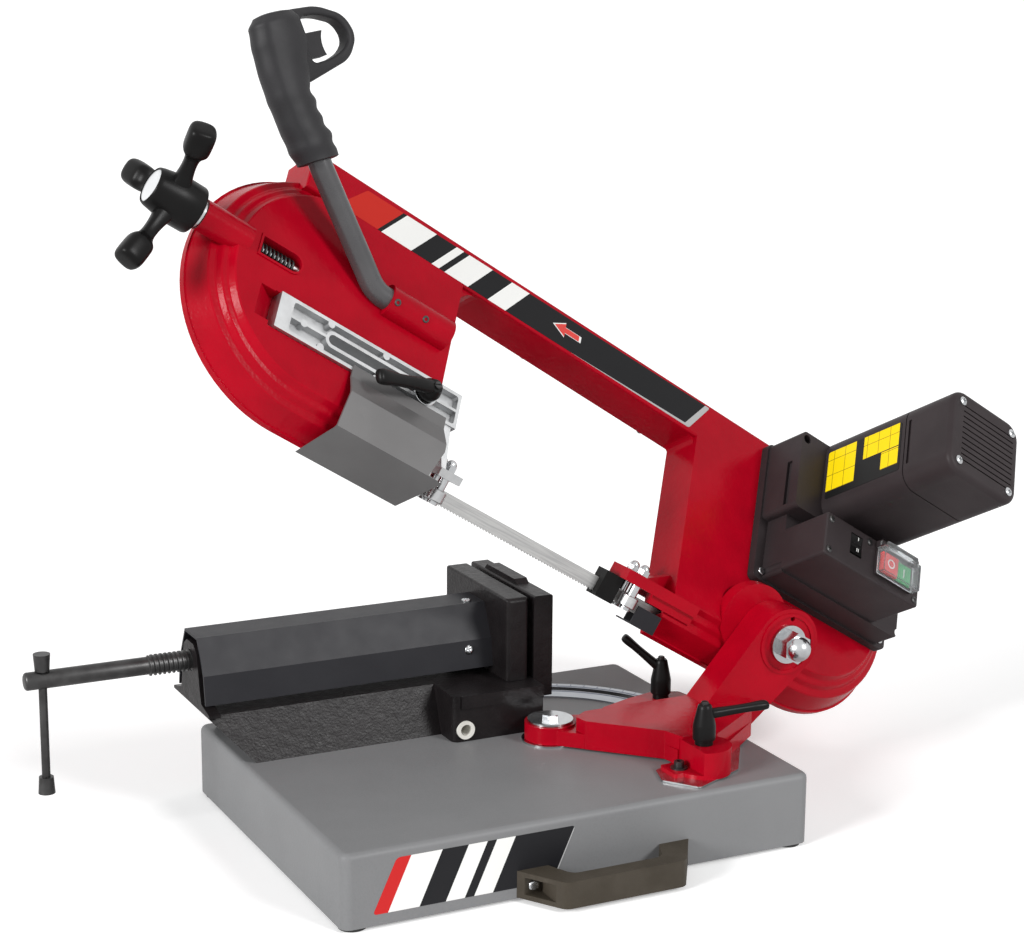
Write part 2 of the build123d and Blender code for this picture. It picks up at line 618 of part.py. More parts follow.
def swivel_arm():
    """Cast arm: swivel boss, clamp flange, stepped beam, front clamp boss and hinge ear."""
    low = ARM_BOTTOM
    floor = Plane.XY.offset(low)
    lock = lock_point()
    shape = rod(PIVOT_BOSS_RADIUS, (PIVOT_X, 0, low), (PIVOT_X, 0, PIVOT_BOSS_TOP))
    plan = [(46, -21), (113, -89), (116, -112), (146, -121), (209, -70.5), (222, -48), (222, -16)]
    plan += [(206, 14), (84, 8), (52, 21)]
    shape += prism(plan, floor, ARM_LOW_TOP - low)
    x, y = lock
    flange = [(120, 10), (x + 31, 6), (x + 24, y + 9), (x + 3, y + 19), (x - 27, y + 11), (118, 31)]
    shape += prism(flange, floor, ARM_FLANGE_TOP - low, 5.0)
    beam = [(62, -26), (64, -40), (113, -89), (118, -108), (148, -114), (209, -70.5), (222, -48)]
    beam += [(222, -16.5), (76, -16.5)]
    shape += prism(beam, floor, ARM_TOP - low, 3.0)
    x, y = FRONT_LOCK
    shape += rod(FRONT_BOSS_RADIUS, (x, y, low), (x, y, FRONT_BOSS_TOP))
    centre = (AXLE_X, AXLE_Z)
    left = tangent_point((166, ARM_LOW_TOP), centre, EAR_RADIUS, -1)
    right = tangent_point((222, low), centre, EAR_RADIUS, 1)
    side = [(166, ARM_LOW_TOP), (166, low), (222, low), right, centre, left]
    ear = ring_face(side) + Pos(*centre) * Circle(EAR_RADIUS)
    shape += extrude(Plane.XZ.offset(-EAR_REAR) * ear, amount=EAR_REAR - EAR_FRONT)
    shape -= rod(PIVOT_RADIUS + RUNNING, (PIVOT_X, 0, low - 5), (PIVOT_X, 0, PIVOT_BOSS_TOP + 5))
    shape -= rod(STUD_RADIUS + RUNNING, (*lock, low - 5), (*lock, ARM_FLANGE_TOP + 30))
    shape -= rod(STUD_RADIUS + RUNNING, (x, y, low + 6), (x, y, FRONT_BOSS_TOP + 5))
    shape -= rod(AXLE_RADIUS + RUNNING, (AXLE_X, -80, AXLE_Z), (AXLE_X, 0, AXLE_Z))
    pocket = (AXLE_X, EAR_REAR - EAR_POCKET_DEPTH, AXLE_Z)
    shape -= rod(EAR_POCKET_RADIUS, pocket, (AXLE_X, EAR_REAR + 1, AXLE_Z))
    # Raised ring and a small hole on the face of the ear.
    face = (AXLE_X, EAR_FRONT, AXLE_Z)
    ring = rod(27, (AXLE_X, EAR_FRONT - 1.2, AXLE_Z), face) - rod(24, (AXLE_X, EAR_FRONT - 2, AXLE_Z), face)
    shape += ring
    hole = (AXLE_X + 5, EAR_FRONT - 2, AXLE_Z + 21.7)
    shape -= rod(2.2, hole, (hole[0], EAR_FRONT + 8, hole[2]))
    px, py = POINTER_SCREW
    lug = low + POINTER_LUG
    shape += block((px - 11, px + 14), (py - 12, py + 13), (low, lug), 3.0)
    shape -= block((px - 20, px + 9), (py - 25, py + 15), (lug, ARM_TOP + 5))
    return shape - rod(POINTER_SHANK, (px, py, low - 1), (px, py, lug + 1))


def pointer_plate():
    """Thin pointer plate under the front clamp boss, tip along the scale."""
    plan = [(93, -109), (86, -131), (106, -158.5), (156, -135.5)]
    plan += [(189.5, -85), (176, -85), (161, -101), (120, -95)]
    plate = prism(plan, Plane.XY.offset(BASE_TOP + SLIDING), MITRE_WASHER, 3.0)
    px, py = POINTER_SCREW
    return plate - rod(POINTER_SHANK, (px, py, 0), (px, py, 100))


def pointer_screw():
    """Socket screw and washer that hold the pointer plate under the lug of the arm."""
    px, py = POINTER_SCREW
    seat = ARM_BOTTOM + POINTER_LUG
    shape = rod(POINTER_SHANK, (px, py, BASE_TOP + SLIDING), (px, py, seat))
    shape += rod(7.0, (px, py, seat), (px, py, seat + 1.2))
    shape += rod(4.3, (px, py, seat + 1.2), (px, py, seat + 6.2))
    return shape - hexagon(4.0, (px, py, seat + 3.5), (px, py, seat + 8))


def return_spring():
    """Torsion spring round the axle, in the pocket of the ear."""
    turns = 4.0
    wire = 1.25
    spring = coil(13.2, wire, 3.2, turns)
    start = EAR_REAR - EAR_POCKET_DEPTH + wire
    return Location(Plane(origin=(AXLE_X, start, AXLE_Z), x_dir=(1, 0, 0), z_dir=(0, 1, 0))) * spring


def lock_nut():
    """Square nut of the rear clamp, under the tray."""
    x, y = lock_point()
    high = BASE_TOP - TRAY_WALL - SLIDING
    nut = block((x - 9, x + 9), (y - 9, y + 9), (high - 7, high))
    return nut - rod(STUD_RADIUS + RUNNING, (x, y, high - 10), (x, y, high + 5))


def rear_lock_lever():
    """Clamp lever on a long stud that reaches through the flange and the curved slot."""
    lever = Rot(0, 0, 150) * clamp_lever(9.0, 36.0, 28.0, 20.0)
    x, y = lock_point()
    low = BASE_TOP - TRAY_WALL - 9
    seat = ARM_FLANGE_TOP + SLIDING
    return Pos(x, y, seat) * lever + rod(STUD_RADIUS, (x, y, low), (x, y, seat + 5))


def front_lock_lever():
    """Clamp lever on the front boss."""
    lever = Rot(0, 0, -4) * clamp_lever(9.5, 34.0, 52.0, -7.0)
    x, y = FRONT_LOCK
    seat = FRONT_BOSS_TOP + SLIDING
    return Pos(x, y, seat) * lever + rod(STUD_RADIUS, (x, y, ARM_BOTTOM + 8), (x, y, seat + 5))


def cover_screws():
    """Places of the screws of the back cover."""
    reach = RIM_RADIUS - COVER_INSET
    places = list(PLAIN_SCREWS)
    for s, angles in ((WHEEL_S, IDLER_SCREWS), (DRIVE_S, DRIVE_SCREWS)):
        for angle in angles:
            turn = math.radians(angle)
            places.append((s + reach * math.cos(turn), WHEEL_T + reach * math.sin(turn)))
    return places


def bow_outline():
    """Outer line of the bow: two wheel rims, the bar and the webs beside the throat."""
    low = WHEEL_T - RIM_RADIUS
    face = Pos(WHEEL_S, WHEEL_T) * Circle(RIM_RADIUS) + Pos(DRIVE_S, WHEEL_T) * Circle(RIM_RADIUS)
    face += ring_face(BAR_POINTS)
    face += ring_face([(WHEEL_S, low), (THROAT_LEFT, low), (THROAT_LEFT, 190), (WHEEL_S, 190)])
    face += ring_face([(THROAT_RIGHT, low), (DRIVE_S, low), (DRIVE_S, 185), (THROAT_RIGHT, 185)])
    return face


def throat_corner(s, turn, radius):
    """Rounded fill of one upper corner of the throat, from the web at s to the bar."""
    left, right = BAR_POINTS[3], BAR_POINTS[2]
    slope = (right[1] - left[1]) / (right[0] - left[0])
    middle = s + turn * radius
    t = left[1] + slope * (middle - left[0])
    points = [(s - turn * 3, t + 3), (middle, t + 3)]
    for step in range(7):
        angle = math.radians(90 - 15 * step)
        points.append((middle - turn * radius * math.cos(angle), t - radius + radius * math.sin(angle)))
    points.append((s - turn * 3, t - radius))
    return prism(points, Plane.XY.offset(BACK), FACE - 4.0 - BACK)


def dome(s, turn):
    """Stepped half-round cover over the outer half of one wheel."""
    points = [(0, BACK), (RIM_RADIUS, BACK), (RIM_RADIUS, FLANGE_TOP)] + list(DOME) + [(0, FACE)]
    face = make_face(Polyline(*points, close=True))
    corners = face.vertices().filter_by(lambda v: v.X > 1 and v.Y > FLANGE_TOP + 1)
    face = chamfer(corners, 0.8)
    half = revolve(Plane.XZ * face, axis=Axis.Z, revolution_arc=180)
    return Pos(s, WHEEL_T, 0) * Rot(0, 0, turn) * half


def web(s):
    """Straight run of the stepped cover beside the throat."""
    low = WHEEL_T - RIM_RADIUS
    points = [(low, BACK), (low, FLANGE_TOP)] + [(WHEEL_T - r, z) for r, z in DOME]
    points += [(190, FACE), (190, BACK)]
    face = make_face(Polyline(*points, close=True))
    corners = face.vertices().filter_by(lambda v: v.X < 100 and v.Y > FLANGE_TOP + 1)
    face = chamfer(corners, 0.8)
    return extrude(Plane.YZ.offset(s[0]) * face, amount=s[1] - s[0])


def tube_path():
    """Middle line of the handle tube."""
    return FilletPolyline(*TUBE_PATH, radius=TUBE_BENDS)


def tube_solid(radius):
    """Round bar along the handle tube."""
    start = Plane(origin=TUBE_PATH[0], z_dir=(-1, 0, 0))
    return sweep(start * Circle(radius), path=tube_path())


def window(rim, z):
    """Opening over the tension spring, square at the nose and round at the other end."""
    s0, s1 = WINDOW_S
    half = WINDOW_HALF + rim
    end = s1 - WINDOW_HALF
    shape = block((s0 - rim, end), (TENSION_T - half, TENSION_T + half), z)
    return shape + rod(half, (end, TENSION_T, z[0]), (end, TENSION_T, z[1]))


def bow_casting():
    """Main casting of the bow, open at the back for the wheels and the blade."""
    flange = extrude(Pos(0, 0, BACK) * bow_outline(), amount=FLANGE_TOP - BACK)
    shape = flange + dome(WHEEL_S, 90) + dome(DRIVE_S, -90)
    shape += web((WHEEL_S, THROAT_LEFT)) + web((THROAT_RIGHT, DRIVE_S))
    bar = prism(BAR_POINTS, Plane.XY.offset(BACK), FACE - BACK)
    bar = fillet(bar.faces().sort_by(Axis.Z)[-1].edges(), 2.5)
    shape += bar
    shape += throat_corner(THROAT_LEFT, 1, THROAT_ROUNDS[0])
    shape += throat_corner(THROAT_RIGHT, -1, THROAT_ROUNDS[1])
    # Boss of the tension screw and boss of the handle tube.
    shape += rod(TENSION_BOSS, (NOSE_END, TENSION_T, TENSION_Z), (-240, TENSION_T, TENSION_Z))
    x0, t0, z0 = TUBE_PATH[0]
    shape += rod(TUBE_RADIUS + 4.5, (x0 + 6, t0, z0 - 2), (-112, t0, z0 - 2))
    # Shelf of the rear guide and hinge boss.
    shelf = block((180, 262), (-17, 12), REAR_SHELF_U)
    shelf += block((214, 262), (-14, 12), (REAR_PAD_U, REAR_SHELF_U[1]))
    shape += to_bow * shelf
    boss = rod(BOW_BOSS_RADIUS, (AXLE_X, EAR_REAR + SLIDING, AXLE_Z), (AXLE_X, -3, AXLE_Z))
    shape += bow.inverse() * boss
    fairing = (AXLE_X - 14, EAR_REAR + SLIDING, AXLE_Z + 14)
    shape += bow.inverse() * rod(33, fairing, (AXLE_X - 14, -3, AXLE_Z + 14))
    gusset = [(210, REAR_SHELF_U[1] - 1), (262, REAR_SHELF_U[1] - 1), (262, REAR_SHELF_U[1] + 30)]
    shape += to_bow * prism(gusset, Plane.XZ.offset(-10), 6)
    # Room for the wheels, the two runs of the blade and its twist.
    for s in (WHEEL_S, WHEEL_S + CARRIAGE_TRAVEL, DRIVE_S):
        shape -= rod(CAVITY_RADIUS, (s, WHEEL_T, BACK - 1), (s, WHEEL_T, CAVITY_TOP))
    top = 2 * WHEEL_T
    shape -= block((WHEEL_S, DRIVE_S), (top - 8, top + 6), (BACK - 1, CAVITY_TOP))
    for s in ((WHEEL_S, THROAT_LEFT + 1), (205, DRIVE_S)):
        shape -= block(s, (-8, 15), (BACK - 1, 1))
        shape -= block(s, (-1, 15), (0, CAVITY_TOP))
    # Tension window with its rim, screw bore and carriage slot.
    shape += window(WINDOW_RIM, (FACE - 1, FACE + 1.2))
    shape -= window(0.0, (13, FACE + 10))
    shape -= rod(TENSION_RADIUS + RUNNING, (-300, TENSION_T, TENSION_Z), (-170, TENSION_T, TENSION_Z))
    s = (CARRIAGE_S[0] - SLIDING, CARRIAGE_S[1] + CARRIAGE_TRAVEL + SLIDING)
    t = (CARRIAGE_T[0] - SLIDING, CARRIAGE_T[1] + SLIDING)
    shape -= block(s, t, (CAVITY_TOP - 1, 24.5))
    # Recess of the guide bar and the hole of its clamp stud.
    t = (GUIDE_T[0] - SLIDING, GUIDE_T[1] + SLIDING)
    low = GUIDE_Z[0] - SLIDING
    left = GUIDE_S[0] - 4
    shape -= block((left, THROAT_LEFT + 5), t, (low, FACE + 10))
    ramp = [(left + 1, low + 1), (left + 1, FACE + 1), (left - 15, FACE + 1)]
    shape -= prism(ramp, Plane.XZ.offset(-t[0] - 4), -(t[1] - t[0] - 5))
    shape -= rod(STUD_RADIUS + RUNNING, (*GUIDE_LEVER, CAVITY_TOP - 2), (*GUIDE_LEVER, FACE))
    # Bores of the drive shaft, the middle gear, the swing axle, the guide bolts and the tube.
    shape -= rod(SHAFT_RADIUS + RUNNING, (DRIVE_S, WHEEL_T, 0), (DRIVE_S, WHEEL_T, FACE + 5))
    shape -= rod(4 + RUNNING, (*MIDDLE_AXIS, 18), (*MIDDLE_AXIS, FACE + 5))
    shape -= bow.inverse() * rod(AXLE_RADIUS, (AXLE_X, -40, AXLE_Z), (AXLE_X, -5, AXLE_Z))
    for side in (-1, 1):
        hole = rod(ROLLER_BOLT, (REAR_ROLLER_S, side * ROLLER_Y, 0), (REAR_ROLLER_S, side * ROLLER_Y, 40))
        shape -= to_bow * hole
    shape -= tube_solid(TUBE_RADIUS)
    for s, t in cover_screws():
        shape -= rod(SCREW_SHANK, (s, t, BACK - 1), (s, t, BACK + 9))
    for s, t in PLATE_SCREWS[2:3]:
        shape -= rod(SCREW_SHANK, (s, t, FACE - 9), (s, t, FACE + 1))
    return bow * shape


def back_cover():
    """Flat cover over the wheels and the blade at the back of the bow."""
    face = bow_outline()
    shape = extrude(Pos(0, 0, BACK - COVER_THICKNESS) * face, amount=COVER_THICKNESS)
    shape = chamfer(shape.faces().sort_by(Axis.Z)[0].edges(), 1.2)
    for s, t in cover_screws():
        shape -= rod(SCREW_SHANK, (s, t, BACK - 10), (s, t, BACK + 1))
    return bow * shape


def housing_screws():
    """Screws of one size: the back cover and the gear case."""
    group = []
    for s, t in cover_screws():
        seat = (s, t, BACK - COVER_THICKNESS)
        group.append(bow * screw(3.6, 2.4, SCREW_SHANK, COVER_THICKNESS + 8, seat, (0, 0, -1)))
    for s, t in PLATE_SCREWS:
        length = PLATE_TOP - FACE + (8 if (s, t) == PLATE_SCREWS[2] else 0)
        group.append(bow * screw(3.6, 2.4, SCREW_SHANK, length, (s, t, PLATE_TOP), (0, 0, 1)))
    return Compound(group)


def saw_blade():
    """Endless toothed band: half turns on the wheels, a plain upper run and a twisted lower run."""
    half = BLADE_WIDTH / 2
    thick = BLADE_THICKNESS / 2
    group = []
    for s, side in ((WHEEL_S, -1), (DRIVE_S, 1)):
        ring = Circle(WHEEL_T + thick) - Circle(WHEEL_T - thick)
        keep = Pos(side * WHEEL_T, 0) * Rectangle(2 * WHEEL_T, 3 * WHEEL_T)
        group.append(Pos(s, WHEEL_T, -half) * extrude(ring & keep, amount=BLADE_WIDTH))
    top = 2 * WHEEL_T
    group.append(block((WHEEL_S, DRIVE_S), (top - thick, top + thick), (-half, half)))
    full = 90 - math.degrees(TILT)
    steps = 6
    left = WHEEL_S + TWIST_CLEAR
    right = DRIVE_S - TWIST_CLEAR
    for s in ((WHEEL_S, left), (right, DRIVE_S)):
        group.append(block(s, (-thick, thick), (-half, half)))
    for start, end, first, last in ((left, TWIST_S[0], 0, full), (TWIST_S[1], right, full, 0)):
        faces = []
        for index in range(steps + 1):
            part = index / steps
            place = Plane(origin=(start + (end - start) * part, 0, 0), x_dir=(0, 1, 0), z_dir=(1, 0, 0))
            turn = first + (last - first) * part
            faces.append(place * Rot(0, 0, -turn) * Rectangle(BLADE_THICKNESS, BLADE_WIDTH))
        group.append(loft(faces, ruled=True))
    points = [(TWIST_S[0], half), (TWIST_S[0], -half)]
    count = int((TWIST_S[1] - TWIST_S[0] - 4) / TOOTH_PITCH)
    for index in range(count):
        left = TWIST_S[0] + 2 + index * TOOTH_PITCH
        points += [(left, -half), (left + 0.8, -half + TOOTH_DEPTH), (left + TOOTH_PITCH - 0.4, -half)]
    points += [(TWIST_S[1], -half), (TWIST_S[1], half)]
    teeth = prism(points, Plane.XZ.offset(-thick), BLADE_THICKNESS)
    group.append(to_bow * teeth)
    shape = group[0]
    for piece in group[1:]:
        shape = shape + piece
    return bow * shape


def handle_tube():
    """Bent tube held in the nose boss."""
    return bow * (tube_solid(TUBE_RADIUS) - tube_solid(TUBE_BORE))


def grip_frame():
    """Frame on the grip: origin at its lower end, +Z along it and +X towards the finger guard."""
    low = Vector(*TUBE_PATH[2])
    way = (Vector(*TUBE_PATH[3]) - low).normalized()
    side = Vector(0.81, 0.58, 0)
    side = (side - way * side.dot(way)).normalized()
    return Plane(origin=low + way * 2, x_dir=side, z_dir=way).location


def handle_grip():
    """Moulded grip with a closed finger guard and a slot for the trigger."""
    sections = []
    for height, long, wide, shift in GRIP_SECTIONS:
        sections.append(Pos(shift, 0, height) * Ellipse(long / 2, wide / 2))
    body = loft(sections)
    guard = make_face(Polyline(*GUARD_OUTER, close=True))
    guard = fillet(guard.vertices(), 7.0)
    hole = make_face(Polyline(*GUARD_INNER, close=True))
    hole = fillet(hole.vertices(), 6.0)
    ring = extrude(Plane.XZ.offset(-7) * guard, amount=14)
    ring = fillet(ring.edges().filter_by(Axis.Y, reverse=True), 3.0)
    ring -= extrude(Plane.XZ.offset(-20) * hole, amount=40)
    shape = body + ring
    place = grip_frame()
    y = (-TRIGGER_HALF - SLIDING, TRIGGER_HALF + SLIDING)
    shape -= block((4, 40), y, (TRIGGER_Z[0] - SLIDING, TRIGGER_Z[1] + SLIDING))
    shape = shape - place.inverse() * tube_solid(TUBE_RADIUS)
    return bow * place * shape


def trigger():
    """Finger trigger that slides into the grip."""
    y = (-TRIGGER_HALF, TRIGGER_HALF)
    shape = block((4 + TRIGGER_TRAVEL + SLIDING, 42), y, TRIGGER_Z)
    hollow = rod(20.0, (56, -10, TRIGGER_Z[0] + 8), (56, 10, TRIGGER_Z[0] + 8))
    shape = fillet(shape.edges().filter_by(Axis.Y).group_by(Axis.X)[-1], 4.0) - hollow
    return bow * grip_frame() * shape


def hinge_axle():
    """Swing axle fixed in the bow boss."""
    return rod(AXLE_RADIUS, (AXLE_X, -70, AXLE_Z), (AXLE_X, -5, AXLE_Z))


def axle_nut():
    """Washer and domed nut on the free end of the swing axle."""
    y = EAR_FRONT - SLIDING
    washer = rod(17.0, (AXLE_X, y - 3, AXLE_Z), (AXLE_X, y, AXLE_Z))
    nut = hexagon(24.0, (AXLE_X, y - 17, AXLE_Z), (AXLE_X, y - 3, AXLE_Z))
    front = block((AXLE_X - 12, AXLE_X + 12), (y - 30, y - 17), (AXLE_Z - 12, AXLE_Z + 12))
    cap = Pos(AXLE_X, y - 17, AXLE_Z) * Sphere(11.0) & front
    group = [washer, nut + cap]
    return Compound([one - rod(AXLE_RADIUS, (AXLE_X, -70, AXLE_Z), (AXLE_X, 0, AXLE_Z)) for one in group])


def tension_spring():
    """Coil spring on the tension screw, seen through the window of the nose."""
    wire = 0.9
    turns = 9.0
    length = WINDOW_S[1] - WINDOW_S[0] - 2 * wire - 3.0
    spring = coil(5.2, wire, length / turns, turns)
    start = (WINDOW_S[0] + wire + 0.3, TENSION_T, TENSION_Z)
    return bow * Plane(origin=start, x_dir=(0, 1, 0), z_dir=(1, 0, 0)).location * spring


def tension_screw():
    """Screw that draws the wheel carriage along the bow, with the collar that bears on the nose."""
    t = TENSION_T
    z = TENSION_Z
    shape = rod(TENSION_RADIUS, (KNOB_S[0] + 12, t, z), (-166, t, z))
    shape += rod(COLLAR_RADIUS, (KNOB_S[1], t, z), (NOSE_END - SLIDING, t, z))
    shape -= rod(COLLAR_RADIUS + 5, (-291, t, z), (-290, t, z))
    return bow * (shape + rod(9.5, (-292, t, z), (-289, t, z)))


def tension_knob():
    """Three-armed knob on the tension screw."""
    s0, s1 = KNOB_S
    r = KNOB_RADIUS
    profile = [(s0, 0), (s0, r - 4), (s0 + 2, r - 3), (s0 + 22, r), (s1 - 2, r), (s1, r - 2), (s1, 0)]
    hub = revolve(ring_face(profile), axis=Axis.X)
    for angle in (69.0, -51.0, -171.0):
        turn = math.radians(angle)
        tip = Vector(s0 + 6, KNOB_REACH * math.cos(turn), KNOB_REACH * math.sin(turn))
        root = Vector(s0 + 20, 8 * math.cos(turn), 8 * math.sin(turn))
        span = tip - root
        thin = Plane(origin=root, z_dir=span) * Circle(KNOB_END - 3)
        thick = Plane(origin=tip, z_dir=span) * Circle(KNOB_END)
        hub += loft([thin, thick])
        hub += Pos(*tip) * Sphere(KNOB_END)
    shape = Pos(0, TENSION_T, TENSION_Z) * hub
    start = (s0 + 12, TENSION_T, TENSION_Z)
    return bow * (shape - rod(TENSION_RADIUS, start, (s1 + 5, TENSION_T, TENSION_Z)))


def idler_carriage():
    """Sliding block in the nose with the axle of the idler wheel and the lug of the tension screw."""
    shape = block(CARRIAGE_S, CARRIAGE_T, CARRIAGE_Z)
    shape += block((CARRIAGE_S[0], CARRIAGE_S[0] + 13), (TENSION_T - 7, TENSION_T + 7), (CARRIAGE_Z[0], 24))
    shape += rod(IDLER_AXLE, (WHEEL_S, WHEEL_T, -WHEEL_HALF), (WHEEL_S, WHEEL_T, CARRIAGE_Z[1]))
    bore = TENSION_RADIUS + RUNNING
    return bow * (shape - rod(bore, (-190, TENSION_T, TENSION_Z), (-130, TENSION_T, TENSION_Z)))


def wheel(s, bore):
    """Spoked band wheel: rim, thin web with round windows, and hub."""
    shape = rod(WHEEL_RADIUS, (s, WHEEL_T, -WHEEL_HALF), (s, WHEEL_T, WHEEL_HALF))
    ring = Circle(WHEEL_RADIUS - 10) - Circle(24)
    for z in ((-WHEEL_HALF - 1, -3), (3, WHEEL_HALF + 1)):
        shape -= Pos(s, WHEEL_T, z[0]) * extrude(ring, amount=z[1] - z[0])
    for index in range(5):
        turn = math.radians(72 * index)
        x = s + 56 * math.cos(turn)
        y = WHEEL_T + 56 * math.sin(turn)
        shape -= rod(20, (x, y, -20), (x, y, 20))
    return shape - rod(bore, (s, WHEEL_T, -20), (s, WHEEL_T, 20))


def idler_wheel():
    """Free wheel at the nose."""
    return bow * wheel(WHEEL_S, IDLER_AXLE + RUNNING)


def drive_wheel():
    """Driven wheel at the tail."""
    return bow * wheel(DRIVE_S, SHAFT_RADIUS)


def drive_shaft():
    """Output shaft with its gear, keyed in the drive wheel."""
    shape = rod(SHAFT_RADIUS, (DRIVE_S, WHEEL_T, -WHEEL_HALF), (DRIVE_S, WHEEL_T, 42))
    return bow * (shape + rod(SECOND_GEAR, (DRIVE_S, WHEEL_T, 30), (DRIVE_S, WHEEL_T, 42)))


def middle_gear():
    """Middle shaft of the gear train with its large gear and its pinion."""
    x, y = MIDDLE_AXIS
    shape = rod(4.0, (x, y, 18.5), (x, y, GEAR_CAVITY_TOP + 3))
    shape += rod(SECOND_PINION, (x, y, 29), (x, y, 43))
    return bow * (shape + rod(FIRST_GEAR, (x, y, 44), (x, y, 51)))


def motor_rotor():
    """Armature with its shaft and pinion."""
    x, y = MOTOR_AXIS
    shape = rod(4.0, (x, y, 42), (x, y, 214))
    shape += rod(FIRST_PINION, (x, y, 43.4), (x, y, 51.6))
    shape += rod(24.0, (x, y, 100), (x, y, 175))
    return bow * (shape + rod(15.0, (x, y, 180), (x, y, 200)))


def gear_housing():
    """Gear case: mounting plate, low case over the output gear and block under the motor."""
    shape = block(PLATE_S, PLATE_T, (FACE, PLATE_TOP), 6.0)
    shape += block((BOX_S[0], 472), (68, 130), (FACE, GEAR_CASE_TOP), 4.0)
    shape += block((314, 446), (126, 205), (FACE, GEAR_BLOCK_TOP), 5.0)
    shape -= block((340, 450), (73, 198), (FACE - 1, GEAR_CAVITY_TOP))
    shape -= block((312, 317), (131, 176), (60, 66))
    bore = 4 + RUNNING
    top = GEAR_CAVITY_TOP + 3 + SLIDING
    shape -= rod(bore, (*MOTOR_AXIS, GEAR_CAVITY_TOP - 5), (*MOTOR_AXIS, GEAR_BLOCK_TOP + 5))
    shape -= rod(bore, (*MIDDLE_AXIS, GEAR_CAVITY_TOP - 5), (*MIDDLE_AXIS, top))
    for s, t in PLATE_SCREWS:
        shape -= rod(SCREW_SHANK, (s, t, FACE - 5), (s, t, 100))
        shape -= rod(4.2, (s, t, PLATE_TOP), (s, t, 100))
    return bow * shape


def motor_housing():
    """Motor can with rounded corners, end grooves and open inside towards the gear case."""
    edge = 16.0
    shape = block(MOTOR_S, MOTOR_T, (GEAR_BLOCK_TOP, MOTOR_END), edge)
    shape = fillet(shape.faces().sort_by(Axis.Z)[-1].edges(), 5.0)
    s = (MOTOR_S[0] + MOTOR_WALL, MOTOR_S[1] - MOTOR_WALL)
    t = (MOTOR_T[0] + MOTOR_WALL, MOTOR_T[1] - MOTOR_WALL)
    shape -= block(s, t, (GEAR_BLOCK_TOP - 1, MOTOR_END - 8), edge - MOTOR_WALL)
    for index in range(11):
        low = MOTOR_T[0] + 14 + 5.4 * index
        z = (MOTOR_END - 1.5, MOTOR_END + 5)
        shape -= block((MOTOR_S[0] + 14, MOTOR_S[1] - 8), (low, low + 1.3), z)
    # Seam of the end bell and the air slot beside it.
    skin = 0.9
    seam = (MOTOR_SEAM, MOTOR_SEAM + 1.2)
    ring = block((MOTOR_S[0] - 1, MOTOR_S[1] + 1), (MOTOR_T[0] - 1, MOTOR_T[1] + 1), seam)
    s = (MOTOR_S[0] + skin, MOTOR_S[1] - skin)
    t = (MOTOR_T[0] + skin, MOTOR_T[1] - skin)
    shape -= ring - block(s, t, seam, edge - skin)
    slot = (MOTOR_SEAM + 4, MOTOR_SEAM + 7)
    shape -= block((MOTOR_S[0] - 1, MOTOR_S[0] + MOTOR_WALL - 1), (MOTOR_T[0] + 20, MOTOR_T[1] - 18), slot)
    shape += rod(9, (*MOTOR_AXIS, MOTOR_END - 20), (*MOTOR_AXIS, MOTOR_END - 7))
    return bow * (shape - rod(4 + RUNNING, (*MOTOR_AXIS, MOTOR_END - 30), (*MOTOR_AXIS, MOTOR_END - 11)))


def motor_stator():
    """Field core inside the motor can."""
    s = (MOTOR_S[0] + MOTOR_WALL, MOTOR_S[1] - MOTOR_WALL)
    t = (MOTOR_T[0] + MOTOR_WALL, MOTOR_T[1] - MOTOR_WALL)
    shape = block(s, t, (102, 172), 13.0)
    return bow * (shape - rod(25.0, (*MOTOR_AXIS, 90), (*MOTOR_AXIS, 190)))


def switch_box():
    """Switch box in front of the gear case, with the switch frame moulded on its face."""
    shape = block(BOX_S, BOX_T, (GEAR_CASE_TOP, BOX_FRONT), 3.0)
    shape = fillet(shape.faces().sort_by(Axis.Z)[-1].edges(), 1.5)
    s = (BOX_S[0] + BOX_WALL, BOX_S[1] - BOX_WALL)
    t = (BOX_T[0] + BOX_WALL, BOX_T[1] - BOX_WALL)
    shape -= block(s, t, (GEAR_CASE_TOP - 1, BOX_FRONT - BOX_WALL))
    s = (BUTTON_S[0] - 4, BUTTON_S[2] + 4)
    t = (BUTTON_T[0] - 4, BUTTON_T[1] + 3)
    shape += block(s, t, (BOX_FRONT - 14, BOX_FRONT + 3), 2.0)
    shape -= block((BUTTON_S[0], BUTTON_S[2]), BUTTON_T, (BOX_FRONT - 11, BOX_FRONT + 5))
    # Knuckles of the flap and the seat of the speed rocker.
    y, z = FLAP_HINGE
    for s in ((s[0], s[0] + 4), (s[1] - 4, s[1])):
        shape += block(s, (y - 3, y + 3), (BOX_FRONT - 1, z)) + rod(3.0, (s[0], y, z), (s[1], y, z))
        shape -= rod(1.5 + RUNNING, (s[0] - 1, y, z), (s[1] + 1, y, z))
    seat = (BOX_FRONT - 10, BOX_FRONT - 1)
    shape += block((ROCKER_S - 10, ROCKER_S + 10), (ROCKER_T - 13, ROCKER_T + 13), seat)
    room = (BOX_FRONT - 7, BOX_FRONT + 5)
    shape -= block((ROCKER_S - 7.3, ROCKER_S + 7.3), (ROCKER_T - 10.5, ROCKER_T + 10.5), room)
    start = (ROCKER_S - 9, ROCKER_T, ROCKER_Z)
    shape -= rod(ROCKER_PIN + RUNNING, start, (ROCKER_S + 9, ROCKER_T, ROCKER_Z))
    return bow * shape


def push_button(s, front):
    """Square push button."""
    shape = block((s[0] + SLIDING, s[1] - SLIDING / 2), (BUTTON_T[0] + SLIDING, BUTTON_T[1] - SLIDING),
                  (BOX_FRONT - 11 + BUTTON_TRAVEL + SLIDING, front))
    return bow * fillet(shape.faces().sort_by(Axis.Z)[-1].edges(), 1.0)


